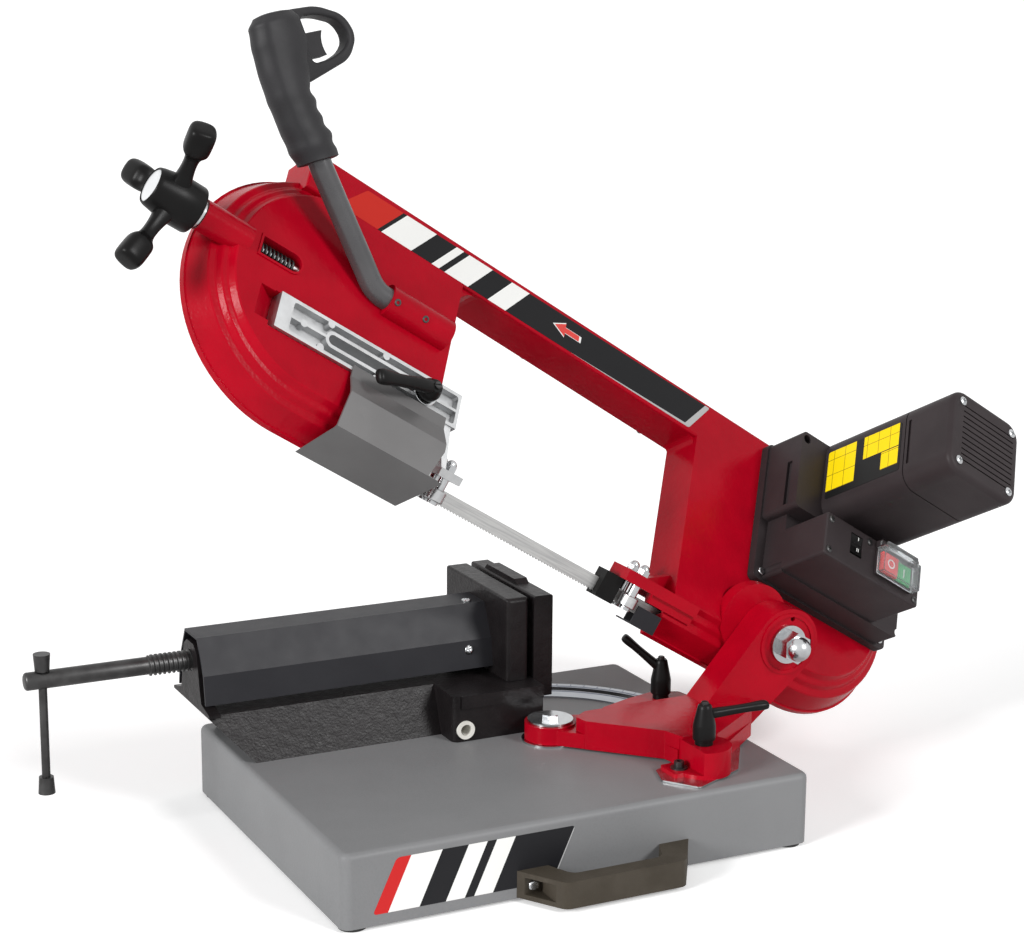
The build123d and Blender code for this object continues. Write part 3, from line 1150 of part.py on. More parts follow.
def switch_flap():
    """Clear hinged cover over the two buttons."""
    y, z = FLAP_HINGE
    s = (BUTTON_S[0] - 4, BUTTON_S[2] + 4)
    low = BUTTON_T[0] - 4
    shape = block(s, (low, y - 4), (BOX_FRONT + 3 + SLIDING, z + 6))
    shape -= block((s[0] + 1.5, s[1] - 1.5), (low + 1.5, y), (BOX_FRONT, z + 4.5))
    inner = (s[0] + 4 + SLIDING, s[1] - 4 - SLIDING)
    shape += block(inner, (y - 5, y + 1.5), (z + 3.5, z + 6))
    shape += block(inner, (y - 1.5, y + 1.5), (z - 1.5, z + 4))
    shape += rod(1.5, (s[0], y, z), (s[1], y, z))
    return bow * shape


def speed_rocker():
    """Rocker of the speed switch, turning about the length of the bow."""
    s = (ROCKER_S - 7, ROCKER_S + 7)
    shape = block(s, (ROCKER_T - 9, ROCKER_T + 9), (BOX_FRONT - 3, BOX_FRONT + 2))
    arc = rod(26, (ROCKER_S - 7, ROCKER_T, BOX_FRONT + 25), (ROCKER_S + 7, ROCKER_T, BOX_FRONT + 25))
    pin = rod(ROCKER_PIN, (ROCKER_S - 8.5, ROCKER_T, ROCKER_Z), (ROCKER_S + 8.5, ROCKER_T, ROCKER_Z))
    return bow * (shape - arc + pin)


def guide_bar():
    """Slotted guide bar with the web and foot of the front rollers."""
    s0, s1 = GUIDE_S
    t0, t1 = GUIDE_T
    shape = block(GUIDE_S, GUIDE_T, GUIDE_Z)
    middle = GUIDE_LEVER[1]
    half = STUD_RADIUS + 0.5
    left = GUIDE_LEVER[0] - GUIDE_TRAVEL - 2
    right = GUIDE_LEVER[0] + 2

    def slot(half, z):
        run = block((left, right), (middle - half, middle + half), z)
        run += rod(half, (left, middle, z[0]), (left, middle, z[1]))
        return run + rod(half, (right, middle, z[0]), (right, middle, z[1]))

    # Pockets that leave a border, a ring round the slot, a few round bosses and a rib at each end.
    z = (GUIDE_Z[1] - GUIDE_POCKET, GUIDE_Z[1] + 1)
    edge = GUIDE_BORDER
    pocket = block((s0 + 13, s1 - edge), (t0 + edge, t1 - edge), z, 2.5)
    pocket -= slot(half + edge, z)
    pocket -= block((s0, left), (middle - 1.2, middle + 1.2), z)
    pocket -= block((right, s1), (middle - 1.2, middle + 1.2), z)
    for s, t in GUIDE_BOSSES:
        pocket -= rod(3.2, (s, t, z[0]), (s, t, z[1]))
    shape -= pocket
    shape -= slot(half, (0, 60))
    low = to_bow * block((FRONT_ROLLER_S - 11, FRONT_ROLLER_S + 11), (-17, 17), GUIDE_FOOT_U)
    bottom = [(-36, t0 + 1, 15.5), (-26, t0 + 1, 15.5), (-26, t0 + 1, 28), (-36, t0 + 1, 28)]
    upper = make_face(Polyline(*bottom, close=True))
    foot = [(s, y, GUIDE_FOOT_U[1] - 0.5) for s, y in ((-25, 6), (-20.5, 6), (-20.5, -16), (-25, -16))]
    lower = to_bow * make_face(Polyline(*foot, close=True))
    web_plate = loft([upper, lower], ruled=True)
    shape = shape + low + web_plate
    for side in (-1, 1):
        hole = rod(ROLLER_BOLT, (FRONT_ROLLER_S, side * ROLLER_Y, 0), (FRONT_ROLLER_S, side * ROLLER_Y, 60))
        shape -= to_bow * hole
    return bow * shape


def roller_bolts(s, seat):
    """Two bolts of a guide with their shoulders, heads below and domed nuts above."""
    group = []
    for side in (-1, 1):
        y = side * ROLLER_Y
        bolt = rod(ROLLER_BOLT, (s, y, -ROLLER_HALF - SLIDING), (s, y, seat[1] + 4))
        bolt += rod(5.0, (s, y, -ROLLER_HALF - 3), (s, y, -ROLLER_HALF - SLIDING))
        bolt += rod(4.5, (s, y, ROLLER_HALF + SLIDING), (s, y, seat[0]))
        bolt += hexagon(10.0, (s, y, seat[1]), (s, y, seat[1] + 5))
        cap = block((s - 5, s + 5), (y - 5, y + 5), (seat[1] + 4, seat[1] + 12))
        bolt += Pos(s, y, seat[1] + 5) * Sphere(4.6) & cap
        group.append(cut * bolt)
    return Compound(group)


def roller(s, side):
    """Guide roller beside the blade."""
    y = side * ROLLER_Y
    shape = rod(ROLLER_RADIUS, (s, y, -ROLLER_HALF), (s, y, ROLLER_HALF))
    shape = chamfer(shape.edges().filter_by(GeomType.CIRCLE), 0.6)
    return cut * (shape - rod(ROLLER_BOLT + RUNNING, (s, y, -10), (s, y, 10)))


def blade_guard():
    """Folded sheet guard in front of the free blade, carried by the guide bar."""
    low = GUIDE_Z[1]
    shell = [(50, low), (39, low), (22, low + 6.5), (-8, 31), (-24, -4.5), (-25.5, -3.8), (-9.2, 32.8)]
    shell += [(22.5, low + 8.3), (39.3, low + 1.7), (50, low + 1.7)]
    sheet = prism(shell, Plane.YZ.offset(-152), 132)
    trim_left = [(-160, 70), (-128, 70), (-128, 28), (-131, -9), (-145, -30), (-160, -30)]
    trim_right = [(0, 70), (-34, 70), (-34, 38), (-32, 16), (-40, -8.4), (-26, -9.6), (-47, -30), (0, -30)]
    for points in (trim_left, trim_right):
        sheet -= prism(points, Plane.XY.offset(-20), 80)
    return bow * sheet


def guide_lever():
    """Clamp lever of the guide bar on its stud."""
    lever = Rot(0, 0, 203) * clamp_lever(9.0, 15.0, 58.0, 6.0)
    seat = GUIDE_Z[1] + 2.2
    x, y = GUIDE_LEVER
    washer = rod(10.0, (x, y, GUIDE_Z[1] + SLIDING), (x, y, seat))
    stud = rod(STUD_RADIUS, (x, y, CAVITY_TOP), (x, y, seat + 5))
    return bow * (Pos(x, y, seat) * lever + washer + stud)


def rear_guide_block():
    """Slotted block that steadies the blade before the rear rollers."""
    shape = block((166, 185), (-8, 8), (-9, REAR_SHELF_U[0]))
    gap = BLADE_THICKNESS / 2 + SLIDING
    return cut * (shape - block((160, 190), (-gap, gap), (-10, BLADE_WIDTH / 2 + 1)))


def lower_shield():
    """Folded sheet below the blade at the rear guide."""
    shape = block((206, 232.5), (-15.4, 9.4), (-16, -14.6))
    shape += block((206, 232.5), (-15.4, -14), (-16, 1))
    shape += block((214, 230), (8, 9.4), (-16, REAR_PAD_U))
    return cut * shape


nodes = {
    "base_tray": base_tray,
    "base_feet": base_feet,
    "carry_handle": carry_handle,
    "carry_handle_screws": carry_handle_screws,
    "mitre_ring": mitre_ring,
    "vice_bed": vice_bed,
    "vice_bolts": vice_bolts,
    "nut_bracket": nut_bracket,
    "bar_stop_bush": bar_stop_bush,
    "fixed_jaw": fixed_jaw,
    "pivot_bolt": pivot_bolt,
    "pivot_washers": pivot_washers,
    "moving_jaw": moving_jaw,
    "vice_channel": vice_channel,
    "vice_screw": vice_screw,
    "tee_bar": tee_bar,
    "swivel_arm": swivel_arm,
    "pointer_plate": pointer_plate,
    "pointer_screw": pointer_screw,
    "return_spring": return_spring,
    "lock_nut": lock_nut,
    "rear_lock_lever": rear_lock_lever,
    "front_lock_lever": front_lock_lever,
    "bow_casting": bow_casting,
    "back_cover": back_cover,
    "housing_screws": housing_screws,
    "saw_blade": saw_blade,
    "handle_tube": handle_tube,
    "handle_grip": handle_grip,
    "trigger": trigger,
    "hinge_axle": hinge_axle,
    "axle_nut": axle_nut,
    "tension_spring": tension_spring,
    "tension_screw": tension_screw,
    "tension_knob": tension_knob,
    "idler_carriage": idler_carriage,
    "idler_wheel": idler_wheel,
    "drive_wheel": drive_wheel,
    "drive_shaft": drive_shaft,
    "middle_gear": middle_gear,
    "motor_rotor": motor_rotor,
    "motor_stator": motor_stator,
    "gear_housing": gear_housing,
    "motor_housing": motor_housing,
    "switch_box": switch_box,
    "stop_button": lambda: push_button((BUTTON_S[0], BUTTON_S[1]), BOX_FRONT + 7),
    "start_button": lambda: push_button((BUTTON_S[1], BUTTON_S[2]), BOX_FRONT + 4.5),
    "switch_flap": switch_flap,
    "speed_rocker": speed_rocker,
    "guide_bar": guide_bar,
    "guide_bolts": lambda: roller_bolts(FRONT_ROLLER_S, GUIDE_FOOT_U),
    "front_roller_near": lambda: roller(FRONT_ROLLER_S, -1),
    "front_roller_far": lambda: roller(FRONT_ROLLER_S, 1),
    "blade_guard": blade_guard,
    "guide_lever": guide_lever,
    "rear_guide_block": rear_guide_block,
    "rear_guide_bolts": lambda: roller_bolts(REAR_ROLLER_S, REAR_SHELF_U),
    "rear_roller_near": lambda: roller(REAR_ROLLER_S, -1),
    "rear_roller_far": lambda: roller(REAR_ROLLER_S, 1),
    "lower_shield": lower_shield,
}

shapes = {name: make() for name, make in nodes.items()}
boxes = [shape.bounding_box() for shape in shapes.values()]
low_x = min(box.min.X for box in boxes)
high_x = max(box.max.X for box in boxes)
low_y = min(box.min.Y for box in boxes)
high_y = max(box.max.Y for box in boxes)
# The row frame has its origin on the floor under the middle of the whole saw.
shift = Pos(-(low_x + high_x) / 2, -(low_y + high_y) / 2, 0)
print(f"shift {shift.position}")
for name, shape in shapes.items():
    solids = shape.solids()
    print(f"{name}: {len(solids)} solid(s), {sum(one.volume for one in solids) / 1000:.1f} cm3")
    export_step(shift * shape, f"parts/{name}.step")
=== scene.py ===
"""Looks of a bench metal-cutting band saw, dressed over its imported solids."""
import logging
import math
from dataclasses import dataclass
from enum import Enum
from typing import Callable, Dict, List, Optional, Sequence, Tuple, Union

import bmesh
import bpy
from mathutils import Matrix, Vector


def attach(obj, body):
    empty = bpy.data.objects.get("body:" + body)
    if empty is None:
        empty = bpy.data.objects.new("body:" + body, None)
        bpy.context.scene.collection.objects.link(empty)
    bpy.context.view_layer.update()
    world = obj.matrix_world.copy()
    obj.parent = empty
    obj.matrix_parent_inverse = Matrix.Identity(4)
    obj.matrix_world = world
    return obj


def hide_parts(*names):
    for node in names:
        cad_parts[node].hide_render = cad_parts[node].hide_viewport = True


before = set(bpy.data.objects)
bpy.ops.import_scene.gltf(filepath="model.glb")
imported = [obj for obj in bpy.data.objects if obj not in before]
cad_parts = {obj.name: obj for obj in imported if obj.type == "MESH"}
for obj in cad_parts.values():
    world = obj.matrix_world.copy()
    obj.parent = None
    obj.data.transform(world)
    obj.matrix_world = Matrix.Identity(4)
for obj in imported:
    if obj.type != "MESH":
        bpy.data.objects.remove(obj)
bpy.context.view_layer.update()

log = logging.getLogger("band_saw")

Colour = Triple = Tuple[float, float, float]
Point = Tuple[float, float]
Points = Tuple[Point, ...]
Box = Tuple[float, float, float, float]
Piece = bpy.types.Object
Value = Union[float, "Sock"]

MM = 0.001
X, Y, Z = Vector((1, 0, 0)), Vector((0, 1, 0)), Vector((0, 0, 1))
SHIFT = Vector((-48.737, 16.5, 0.0))
RAISED = math.radians(31.7)
TILT = math.radians(33.0)
AXLE = Vector((257.9, 0.0, 134.9))
AXLE_ALONG = 338.6
AXLE_RISE = 34.26


def frame_matrix(origin: Vector, x: Vector, y: Vector, z: Vector) -> Matrix:
    """Matrix from a frame in millimetres from the middle of the base to the row frame in metres."""
    turn = Matrix((x, y, z)).transposed().to_4x4()
    return Matrix.Scale(MM, 4) @ Matrix.Translation(origin + SHIFT) @ turn


ALONG = Vector((math.cos(RAISED), 0.0, -math.sin(RAISED)))
UPRIGHT = Vector((math.sin(RAISED), 0.0, math.cos(RAISED)))
ACROSS = UPRIGHT * math.cos(TILT) + Y * math.sin(TILT)
OUTWARD = UPRIGHT * math.sin(TILT) - Y * math.cos(TILT)
BLADE_POINT = AXLE - ALONG * AXLE_ALONG - UPRIGHT * AXLE_RISE
# Base frame, and the bow frame with s along the bow, t across it and z towards the operator.
BASE = frame_matrix(Vector(), X, Y, Z)
BOW = frame_matrix(BLADE_POINT, ALONG, ACROSS, OUTWARD)


def at(x: float, y: float, z: float) -> Matrix:
    """Move to a local point."""
    return Matrix.Translation((x, y, z))


def turn(degrees: float, axis: str) -> Matrix:
    """Turn about a local axis."""
    return Matrix.Rotation(math.radians(degrees), 4, axis)


def facing(way: Sequence[float], up: Sequence[float]) -> Matrix:
    """Turn that takes local Z to a way, and local X roughly to up."""
    z = Vector(way).normalized()
    x = (Vector(up) - z * z.dot(up)).normalized()
    return Matrix((x, z.cross(x), z)).transposed().to_4x4()


def operator(operation: str) -> Callable:
    """Method of a socket that makes one Math node."""
    def method(self: "Sock", other: Value) -> "Sock":
        return self.shade.node("ShaderNodeMath", {"operation": operation}, {0: self, 1: other})
    return method


@dataclass(eq=False)
class Sock:
    """An output socket that takes part in plain Python sums; a comparison gives one or zero."""

    shade: "Shade"
    socket: bpy.types.NodeSocket

    __add__ = operator("ADD")
    __sub__ = operator("SUBTRACT")
    __mul__ = operator("MULTIPLY")
    __gt__ = operator("GREATER_THAN")
    __lt__ = operator("LESS_THAN")
    __mod__ = operator("FLOORED_MODULO")

    def between(self, low: Value, high: Value) -> "Sock":
        """One between two limits, else zero."""
        return (self > low) * (self < high)

    def within(self, bands: Sequence[Point]) -> "Sock":
        """One inside any of several bands, else zero."""
        first, *others = [self.between(*band) for band in bands]
        return sum(others, first)


class Shade:
    """A material being made, with the few moves that the finishes need."""

    def __init__(self, name: str) -> None:
        """Start a material with one Principled shader."""
        self.material = bpy.data.materials.new(name)
        self.material.use_nodes = True
        self.tree = self.material.node_tree
        self.tree.nodes.clear()
        self.body = self.tree.nodes.new("ShaderNodeBsdfPrincipled")
        out = self.tree.nodes.new("ShaderNodeOutputMaterial")
        self.tree.links.new(self.body.outputs[0], out.inputs[0])

    def node(self, kind: str, settings: Dict, inputs: Dict, output: Union[int, str] = 0) -> Sock:
        """Add a node.

        Args:
            kind: The node's type.
            settings: What is set on the node itself.
            inputs: Values or sockets by input name or number.
            output: The output that is given back, as a socket for sums.
        """
        made = self.tree.nodes.new(kind)
        for key, value in settings.items():
            setattr(made, key, value)
        for key, value in inputs.items():
            self.feed(made.inputs[key], value)
        return Sock(self, made.outputs[output])

    def feed(self, socket: bpy.types.NodeSocket, value: object) -> None:
        """Link a socket or set its value."""
        if isinstance(value, Sock):
            self.tree.links.new(value.socket, socket)
        else:
            socket.default_value = value

    def set(self, name: str, value: object) -> None:
        """Set or link one input of the shader; a colour gets its alpha."""
        if isinstance(value, tuple) and len(value) == 3:
            value = (*value, 1.0)
        self.feed(self.body.inputs[name], value)

    def coordinates(self, stretch: Sequence[float] = (1, 1, 1), local: Optional[Matrix] = None) -> Sock:
        """Object coordinates, stretched or taken into a local frame in metres."""
        raw = self.node("ShaderNodeTexCoord", {}, {}, "Object")
        if local is not None:
            back = (local @ Matrix.Scale(1 / MM, 4)).inverted()
            spin = back.to_euler("XYZ")
            raw = self.node("ShaderNodeMapping", {}, {0: raw, 1: back.to_translation(), 2: spin})
        if tuple(stretch) != (1, 1, 1):
            raw = self.node("ShaderNodeMapping", {}, {0: raw, 3: tuple(stretch)})
        return raw

    def parts(self, vector: Sock) -> Tuple[Sock, Sock, Sock]:
        """The three numbers of a vector."""
        split = self.tree.nodes.new("ShaderNodeSeparateXYZ")
        self.tree.links.new(vector.socket, split.inputs[0])
        return tuple(Sock(self, one) for one in split.outputs)

    def noise(self, vector: Sock, scale: float, detail: float = 3.0) -> Sock:
        """Smooth noise about one half."""
        inputs = {"Vector": vector, "Scale": scale, "Detail": detail, "Roughness": 0.55}
        return self.node("ShaderNodeTexNoise", {}, inputs, 0)

    def cells(self, vector: Sock, scale: float) -> Sock:
        """Distance to the nearest of scattered points."""
        return self.node("ShaderNodeTexVoronoi", {}, {"Vector": vector, "Scale": scale}, 0)

    def step(self, value: Sock, low: float, high: float) -> Sock:
        """Soft step from zero to one between two limits."""
        kind = {"interpolation_type": "SMOOTHSTEP"}
        return self.node("ShaderNodeMapRange", kind, {0: value, 1: low, 2: high}, 0)

    def blend(self, factor: Value, first: object, second: object) -> Sock:
        """Mix two colours."""
        pair = [(*one, 1.0) if isinstance(one, tuple) else one for one in (first, second)]
        return self.node("ShaderNodeMix", {"data_type": "RGBA"}, {0: factor, 6: pair[0], 7: pair[1]}, 2)

    def bump(self, height: Sock) -> None:
        """Raise the surface by a height in metres."""
        self.set("Normal", self.node("ShaderNodeBump", {}, {"Distance": 1.0, "Height": height}))


CLEAR_IOR = 1.2


@dataclass(frozen=True)
class Finish:
    """A finish with drift of colour, uneven gloss and a grain."""

    name: str
    colour: Colour
    second: Colour
    rough: float
    spread: float = 0.06
    metal: float = 0.0
    coat: float = 0.0
    drift: float = 60.0
    grain: float = 900.0
    grain_depth: float = 0.00001
    swell: float = 160.0
    swell_depth: float = 0.0
    gloss: float = 0.5
    clear: float = 0.0

    def base(self, shade: Shade, where: Sock) -> object:
        """Colour over the surface."""
        tone = shade.step(shade.noise(where, self.drift, detail=6.0), low=0.3, high=0.72)
        return shade.blend(tone, self.colour, self.second)

    def make(self) -> bpy.types.Material:
        """Build the material."""
        shade = Shade(self.name)
        where = shade.coordinates()
        shade.set("Base Color", self.base(shade, where))
        uneven = shade.noise(where, self.drift * 3.1, detail=5.0)
        shade.set("Roughness", (uneven - 0.5) * (2 * self.spread) + self.rough)
        shade.set("Metallic", self.metal)
        shade.set("Coat Weight", self.coat)
        shade.set("Coat Roughness", 0.12)
        shade.set("Specular IOR Level", self.gloss)
        height = shade.noise(where, self.grain) * self.grain_depth
        if self.swell_depth:
            height = height + shade.noise(where, self.swell, detail=2.0) * self.swell_depth
        shade.bump(height)
        if self.clear:
            shade.set("Transmission Weight", self.clear)
            shade.set("IOR", CLEAR_IOR)
        return shade.material


@dataclass(frozen=True)
class HammerPaint(Finish):
    """Paint that dries in small dimples with a bright fleck."""

    fleck: float = 420.0
    fleck_share: float = 0.35

    def base(self, shade: Shade, where: Sock) -> object:
        """Colour over the surface."""
        fleck = shade.step(shade.cells(where, self.fleck), low=0.15, high=0.6)
        plain = super().base(shade, where)
        return shade.blend(fleck * self.fleck_share, plain, self.second)


@dataclass(frozen=True)
class BladeSteel(Finish):
    """Ground band with marks along its run."""

    stretch: Triple = (14.0, 420.0, 420.0)

    def base(self, shade: Shade, where: Sock) -> object:
        """Colour over the surface."""
        streak = shade.noise(shade.coordinates(self.stretch, BOW), 2.0, detail=4.0)
        return shade.blend(shade.step(streak, low=0.35, high=0.7), self.colour, self.second)


@dataclass(frozen=True)
class MitreScale(Finish):
    """Flat ring with two dark lines and short marks, in metres from its middle."""

    middle: Point = (2.663, 16.5)
    lines: Points = ((0.1235, 0.1262), (0.1378, 0.1405))
    marks: Point = (0.1412, 0.1452)
    mark_step: float = math.radians(5.0)
    mark_width: float = 0.006
    ink: Colour = (0.03, 0.04, 0.09)

    def base(self, shade: Shade, where: Sock) -> object:
        """Colour over the surface."""
        x, y, _ = shade.parts(where)
        dx = x - self.middle[0] * MM
        dy = y - self.middle[1] * MM
        reach = shade.node("ShaderNodeMath", {"operation": "SQRT"}, {0: dx * dx + dy * dy})
        angle = shade.node("ShaderNodeMath", {"operation": "ARCTAN2"}, {0: dy, 1: dx})
        marks = ((angle % self.mark_step) < self.mark_width) * reach.between(*self.marks)
        plain = super().base(shade, where)
        return shade.blend(reach.within(self.lines) + marks, plain, self.ink)


@dataclass(frozen=True)
class BarStripe(Finish):
    """Slanted plain bands printed on the bar of the bow, in metres along it."""

    slant: float = 0.7
    red_end: float = -0.262
    bars: Points = ((-0.262, -0.258), (-0.226, -0.204), (-0.196, -0.190), (-0.164, -0.142))
    dark_from: float = -0.122
    rim_low: float = 0.1805
    rim_from: float = 0.0905
    white: Colour = (0.82, 0.82, 0.8)
    red: Colour = (0.5, 0.02, 0.012)
    black: Colour = (0.006, 0.006, 0.007)
    grey: Colour = (0.42, 0.42, 0.42)
    # The frame, and which of its axes run along and across the print.
    local = BOW
    axes = slice(0, 2)

    def base(self, shade: Shade, where: Sock) -> object:
        """Colour over the surface."""
        along, across = shade.parts(shade.coordinates(local=self.local))[self.axes]
        lean = along - across * self.slant
        colour = shade.blend(lean < self.red_end, self.white, self.red)
        colour = shade.blend(lean.within(self.bars), colour, self.black)
        rim = (across < self.rim_low) + (lean > self.rim_from)
        inner = shade.blend(rim > 0.5, self.black, self.grey)
        return shade.blend(lean > self.dark_from, colour, inner)


@dataclass(frozen=True)
class TrayStripe(BarStripe):
    """The like on the front of the tray, with a rim at one end only."""

    slant: float = 0.45
    red_end: float = -0.176
    bars: Points = ((-0.150, -0.128), (-0.112, -0.104))
    dark_from: float = -0.088
    rim_low: float = -1.0
    rim_from: float = -0.0365
    red: Colour = (0.55, 0.02, 0.02)
    black: Colour = (0.014, 0.014, 0.016)
    grey: Colour = (0.5, 0.5, 0.5)
    local = BASE
    axes = slice(0, 3, 2)


@dataclass(frozen=True)
class ChartPrint(Finish):
    """Plain table of yellow cells on black.

    Each block of cells has its span along z and across t of the bow, in metres.
    """

    blocks: Tuple[Tuple[Point, Point], ...] = (
        ((0.0735, 0.114), (0.1525, 0.201)),
        ((0.1235, 0.1655), (0.1715, 0.205)),
        ((0.1455, 0.1655), (0.1525, 0.1705)),
    )
    row: float = 0.0162
    column: float = 0.0135
    rule: float = 0.0006
    rule_depth: float = 0.75

    def base(self, shade: Shade, where: Sock) -> object:
        """Colour over the surface."""
        _, t, z = shade.parts(shade.coordinates(local=BOW))
        first, *others = [z.between(*along) * t.between(*across) for along, across in self.blocks]
        (left, _), (low, _) = self.blocks[0]
        rules = (((t - low) % self.row) < self.rule) + (((z - left) % self.column) < self.rule)
        paper = shade.step(rules, low=0.2, high=0.8) * -self.rule_depth + 1.0
        return shade.blend(sum(others, first) * paper, self.colour, self.second)


class Look(Enum):
    """Every finish on the saw."""

    RED_CAST = Finish("red_cast_paint", (0.40, 0.0013, 0.0118), (0.335, 0.0010, 0.0098), rough=0.22,
        drift=26.0, grain=700.0, grain_depth=0.00005, swell=240.0, swell_depth=0.00020, gloss=0.095)
    TRAY = HammerPaint("grey_hammer_paint", (0.185, 0.187, 0.191), (0.210, 0.212, 0.216), rough=0.42,
        drift=9.0, grain=950.0, grain_depth=0.00009, swell=380.0, swell_depth=0.00010, gloss=0.15)
    IRON = Finish("black_cast_iron", (0.0075, 0.0062, 0.0066), (0.0125, 0.0105, 0.0110), rough=0.36,
        spread=0.10, drift=40.0, grain=480.0, grain_depth=0.00026, swell=150.0, swell_depth=0.00030,
        gloss=0.16)
    BLACK = Finish("black_moulding", (0.0050, 0.0047, 0.0047), (0.0075, 0.0072, 0.0072), rough=0.34,
        spread=0.07, drift=25.0, grain=1700.0, grain_depth=0.00005, gloss=0.12)
    MOTOR = Finish("brown_black_moulding", (0.0270, 0.0208, 0.0222), (0.0340, 0.0268, 0.0282),
        rough=0.46, drift=22.0, grain=1900.0, grain_depth=0.00009, gloss=0.14)
    GRIP = Finish("grip_moulding", (0.0205, 0.0200, 0.0215), (0.0270, 0.0262, 0.0282), rough=0.5,
        spread=0.07, drift=30.0, grain=1500.0, grain_depth=0.00009, gloss=0.2)
    CARRY = Finish("brown_moulding", (0.044, 0.036, 0.026), (0.060, 0.050, 0.038), rough=0.55,
        spread=0.08, drift=30.0, grain_depth=0.00016, gloss=0.2)
    CHANNEL = Finish("satin_folded_sheet", (0.0230, 0.0230, 0.0262), (0.0275, 0.0275, 0.0310),
        rough=0.36, drift=20.0, grain=1300.0, grain_depth=0.00003, gloss=0.09)
    OXIDE = Finish("black_oxide_steel", (0.075, 0.074, 0.074), (0.045, 0.044, 0.044), rough=0.40,
        spread=0.12, metal=0.85, grain_depth=0.00003)
    ZINC = Finish("zinc_plate", (0.58, 0.59, 0.60), (0.46, 0.47, 0.48), rough=0.22, spread=0.10,
        metal=1.0, drift=70.0, grain=600.0)
    STEEL = Finish("ground_steel", (0.58, 0.585, 0.59), (0.47, 0.475, 0.48), rough=0.30, spread=0.10,
        metal=1.0, drift=90.0)
    BLADE = BladeSteel("band_steel", (0.52, 0.52, 0.51), (0.40, 0.40, 0.40), rough=0.40, spread=0.08,
        metal=0.75)
    CASTING = Finish("raw_aluminium", (0.53, 0.535, 0.54), (0.42, 0.425, 0.43), rough=0.42, spread=0.10,
        metal=1.0, drift=45.0, grain=800.0, grain_depth=0.00007)
    SHEET = Finish("grey_sheet_paint", (0.125, 0.122, 0.122), (0.145, 0.142, 0.142), rough=0.42,
        metal=0.3, drift=16.0, grain=1100.0, grain_depth=0.00003, gloss=0.3)
    TUBE = Finish("coated_tube", (0.074, 0.073, 0.076), (0.092, 0.091, 0.094), rough=0.28, spread=0.07,
        metal=0.3, drift=22.0, grain=1300.0, grain_depth=0.00005, gloss=0.4)
    RUBBER = Finish("foot_rubber", (0.016, 0.016, 0.016), (0.024, 0.024, 0.024), rough=0.7, spread=0.08,
        drift=30.0, grain_depth=0.00006)
    NYLON = Finish("white_nylon", (0.76, 0.75, 0.70), (0.68, 0.67, 0.62), rough=0.42, spread=0.08,
        grain_depth=0.00003)
    CAP = Finish("pale_cap", (0.72, 0.73, 0.74), (0.66, 0.67, 0.68), rough=0.32, coat=0.2)
    STOP = Finish("red_button", (0.55, 0.02, 0.025), (0.48, 0.015, 0.02), rough=0.32, coat=0.2,
        grain=1200.0, grain_depth=0.00002)
    START = Finish("green_button", (0.02, 0.20, 0.07), (0.015, 0.16, 0.055), rough=0.32, coat=0.2,
        grain=1200.0, grain_depth=0.00002)
    MARK = Finish("white_mark", (0.8, 0.8, 0.78), (0.72, 0.72, 0.7), rough=0.45, spread=0.05)
    ARROW = Finish("red_print", (0.62, 0.03, 0.02), (0.58, 0.025, 0.018), rough=0.4, spread=0.05,
        coat=0.1)
    COPPER = Finish("copper_winding", (0.45, 0.2, 0.09), (0.33, 0.14, 0.06), rough=0.4, spread=0.1,
        metal=0.8, drift=90.0, grain=700.0, grain_depth=0.0001)
    CLEAR = Finish("clear_cover", (0.86, 0.88, 0.89), (0.82, 0.85, 0.86), rough=0.08, spread=0.03,
        drift=40.0, grain=400.0, clear=0.92)
    SCALE = MitreScale("ring_scale", (0.42, 0.44, 0.47), (0.34, 0.36, 0.39), rough=0.34, spread=0.08,
        metal=0.8, drift=40.0, grain=800.0)
    BAR_PRINT = BarStripe("bar_print", (0.8, 0.8, 0.8), (0.7, 0.7, 0.7), rough=0.34, spread=0.05,
        drift=30.0, gloss=0.15)
    TRAY_PRINT = TrayStripe("tray_print", (0.8, 0.8, 0.8), (0.7, 0.7, 0.7), rough=0.36, spread=0.05,
        drift=30.0, gloss=0.15)
    CHART = ChartPrint("chart_print", (0.010, 0.010, 0.010), (0.90, 0.66, 0.005), rough=0.36,
        spread=0.05, drift=30.0, gloss=0.15)

    def material(self) -> bpy.types.Material:
        """The material of this finish, made once."""
        return bpy.data.materials.get(self.value.name) or self.value.make()


NODE_LOOKS: Dict[Look, str] = {
    Look.TRAY: "base_tray",
    Look.RUBBER: "base_feet",
    Look.CARRY: "carry_handle",
    Look.SCALE: "mitre_ring",
    Look.IRON: "vice_bed nut_bracket fixed_jaw moving_jaw",
    Look.NYLON: "bar_stop_bush",
    Look.CHANNEL: "vice_channel lower_shield",
    Look.OXIDE: "vice_screw tee_bar tension_spring pointer_screw",
    Look.ZINC: "carry_handle_screws vice_bolts pivot_bolt pivot_washers pointer_plate housing_screws "
               "axle_nut tension_screw guide_bolts rear_guide_bolts",
    Look.STEEL: "return_spring lock_nut hinge_axle idler_carriage drive_shaft middle_gear "
                "front_roller_near front_roller_far rear_roller_near rear_roller_far",
    Look.BLACK: "rear_lock_lever front_lock_lever guide_lever tension_knob speed_rocker "
                "rear_guide_block",
    Look.MOTOR: "gear_housing motor_housing switch_box",
    Look.GRIP: "handle_grip trigger",
    Look.TUBE: "handle_tube",
    Look.RED_CAST: "swivel_arm bow_casting back_cover",
    Look.BLADE: "saw_blade",
    Look.CASTING: "idler_wheel drive_wheel guide_bar",
    Look.COPPER: "motor_rotor motor_stator",
    Look.STOP: "stop_button",
    Look.START: "start_button",
    Look.CLEAR: "switch_flap",
    Look.SHEET: "blade_guard",
}


@dataclass(frozen=True)
class Station:
    """One cross-section of a drawn shape: its height, half widths and offset."""

    z: float
    rx: float
    ry: float
    dx: float = 0.0


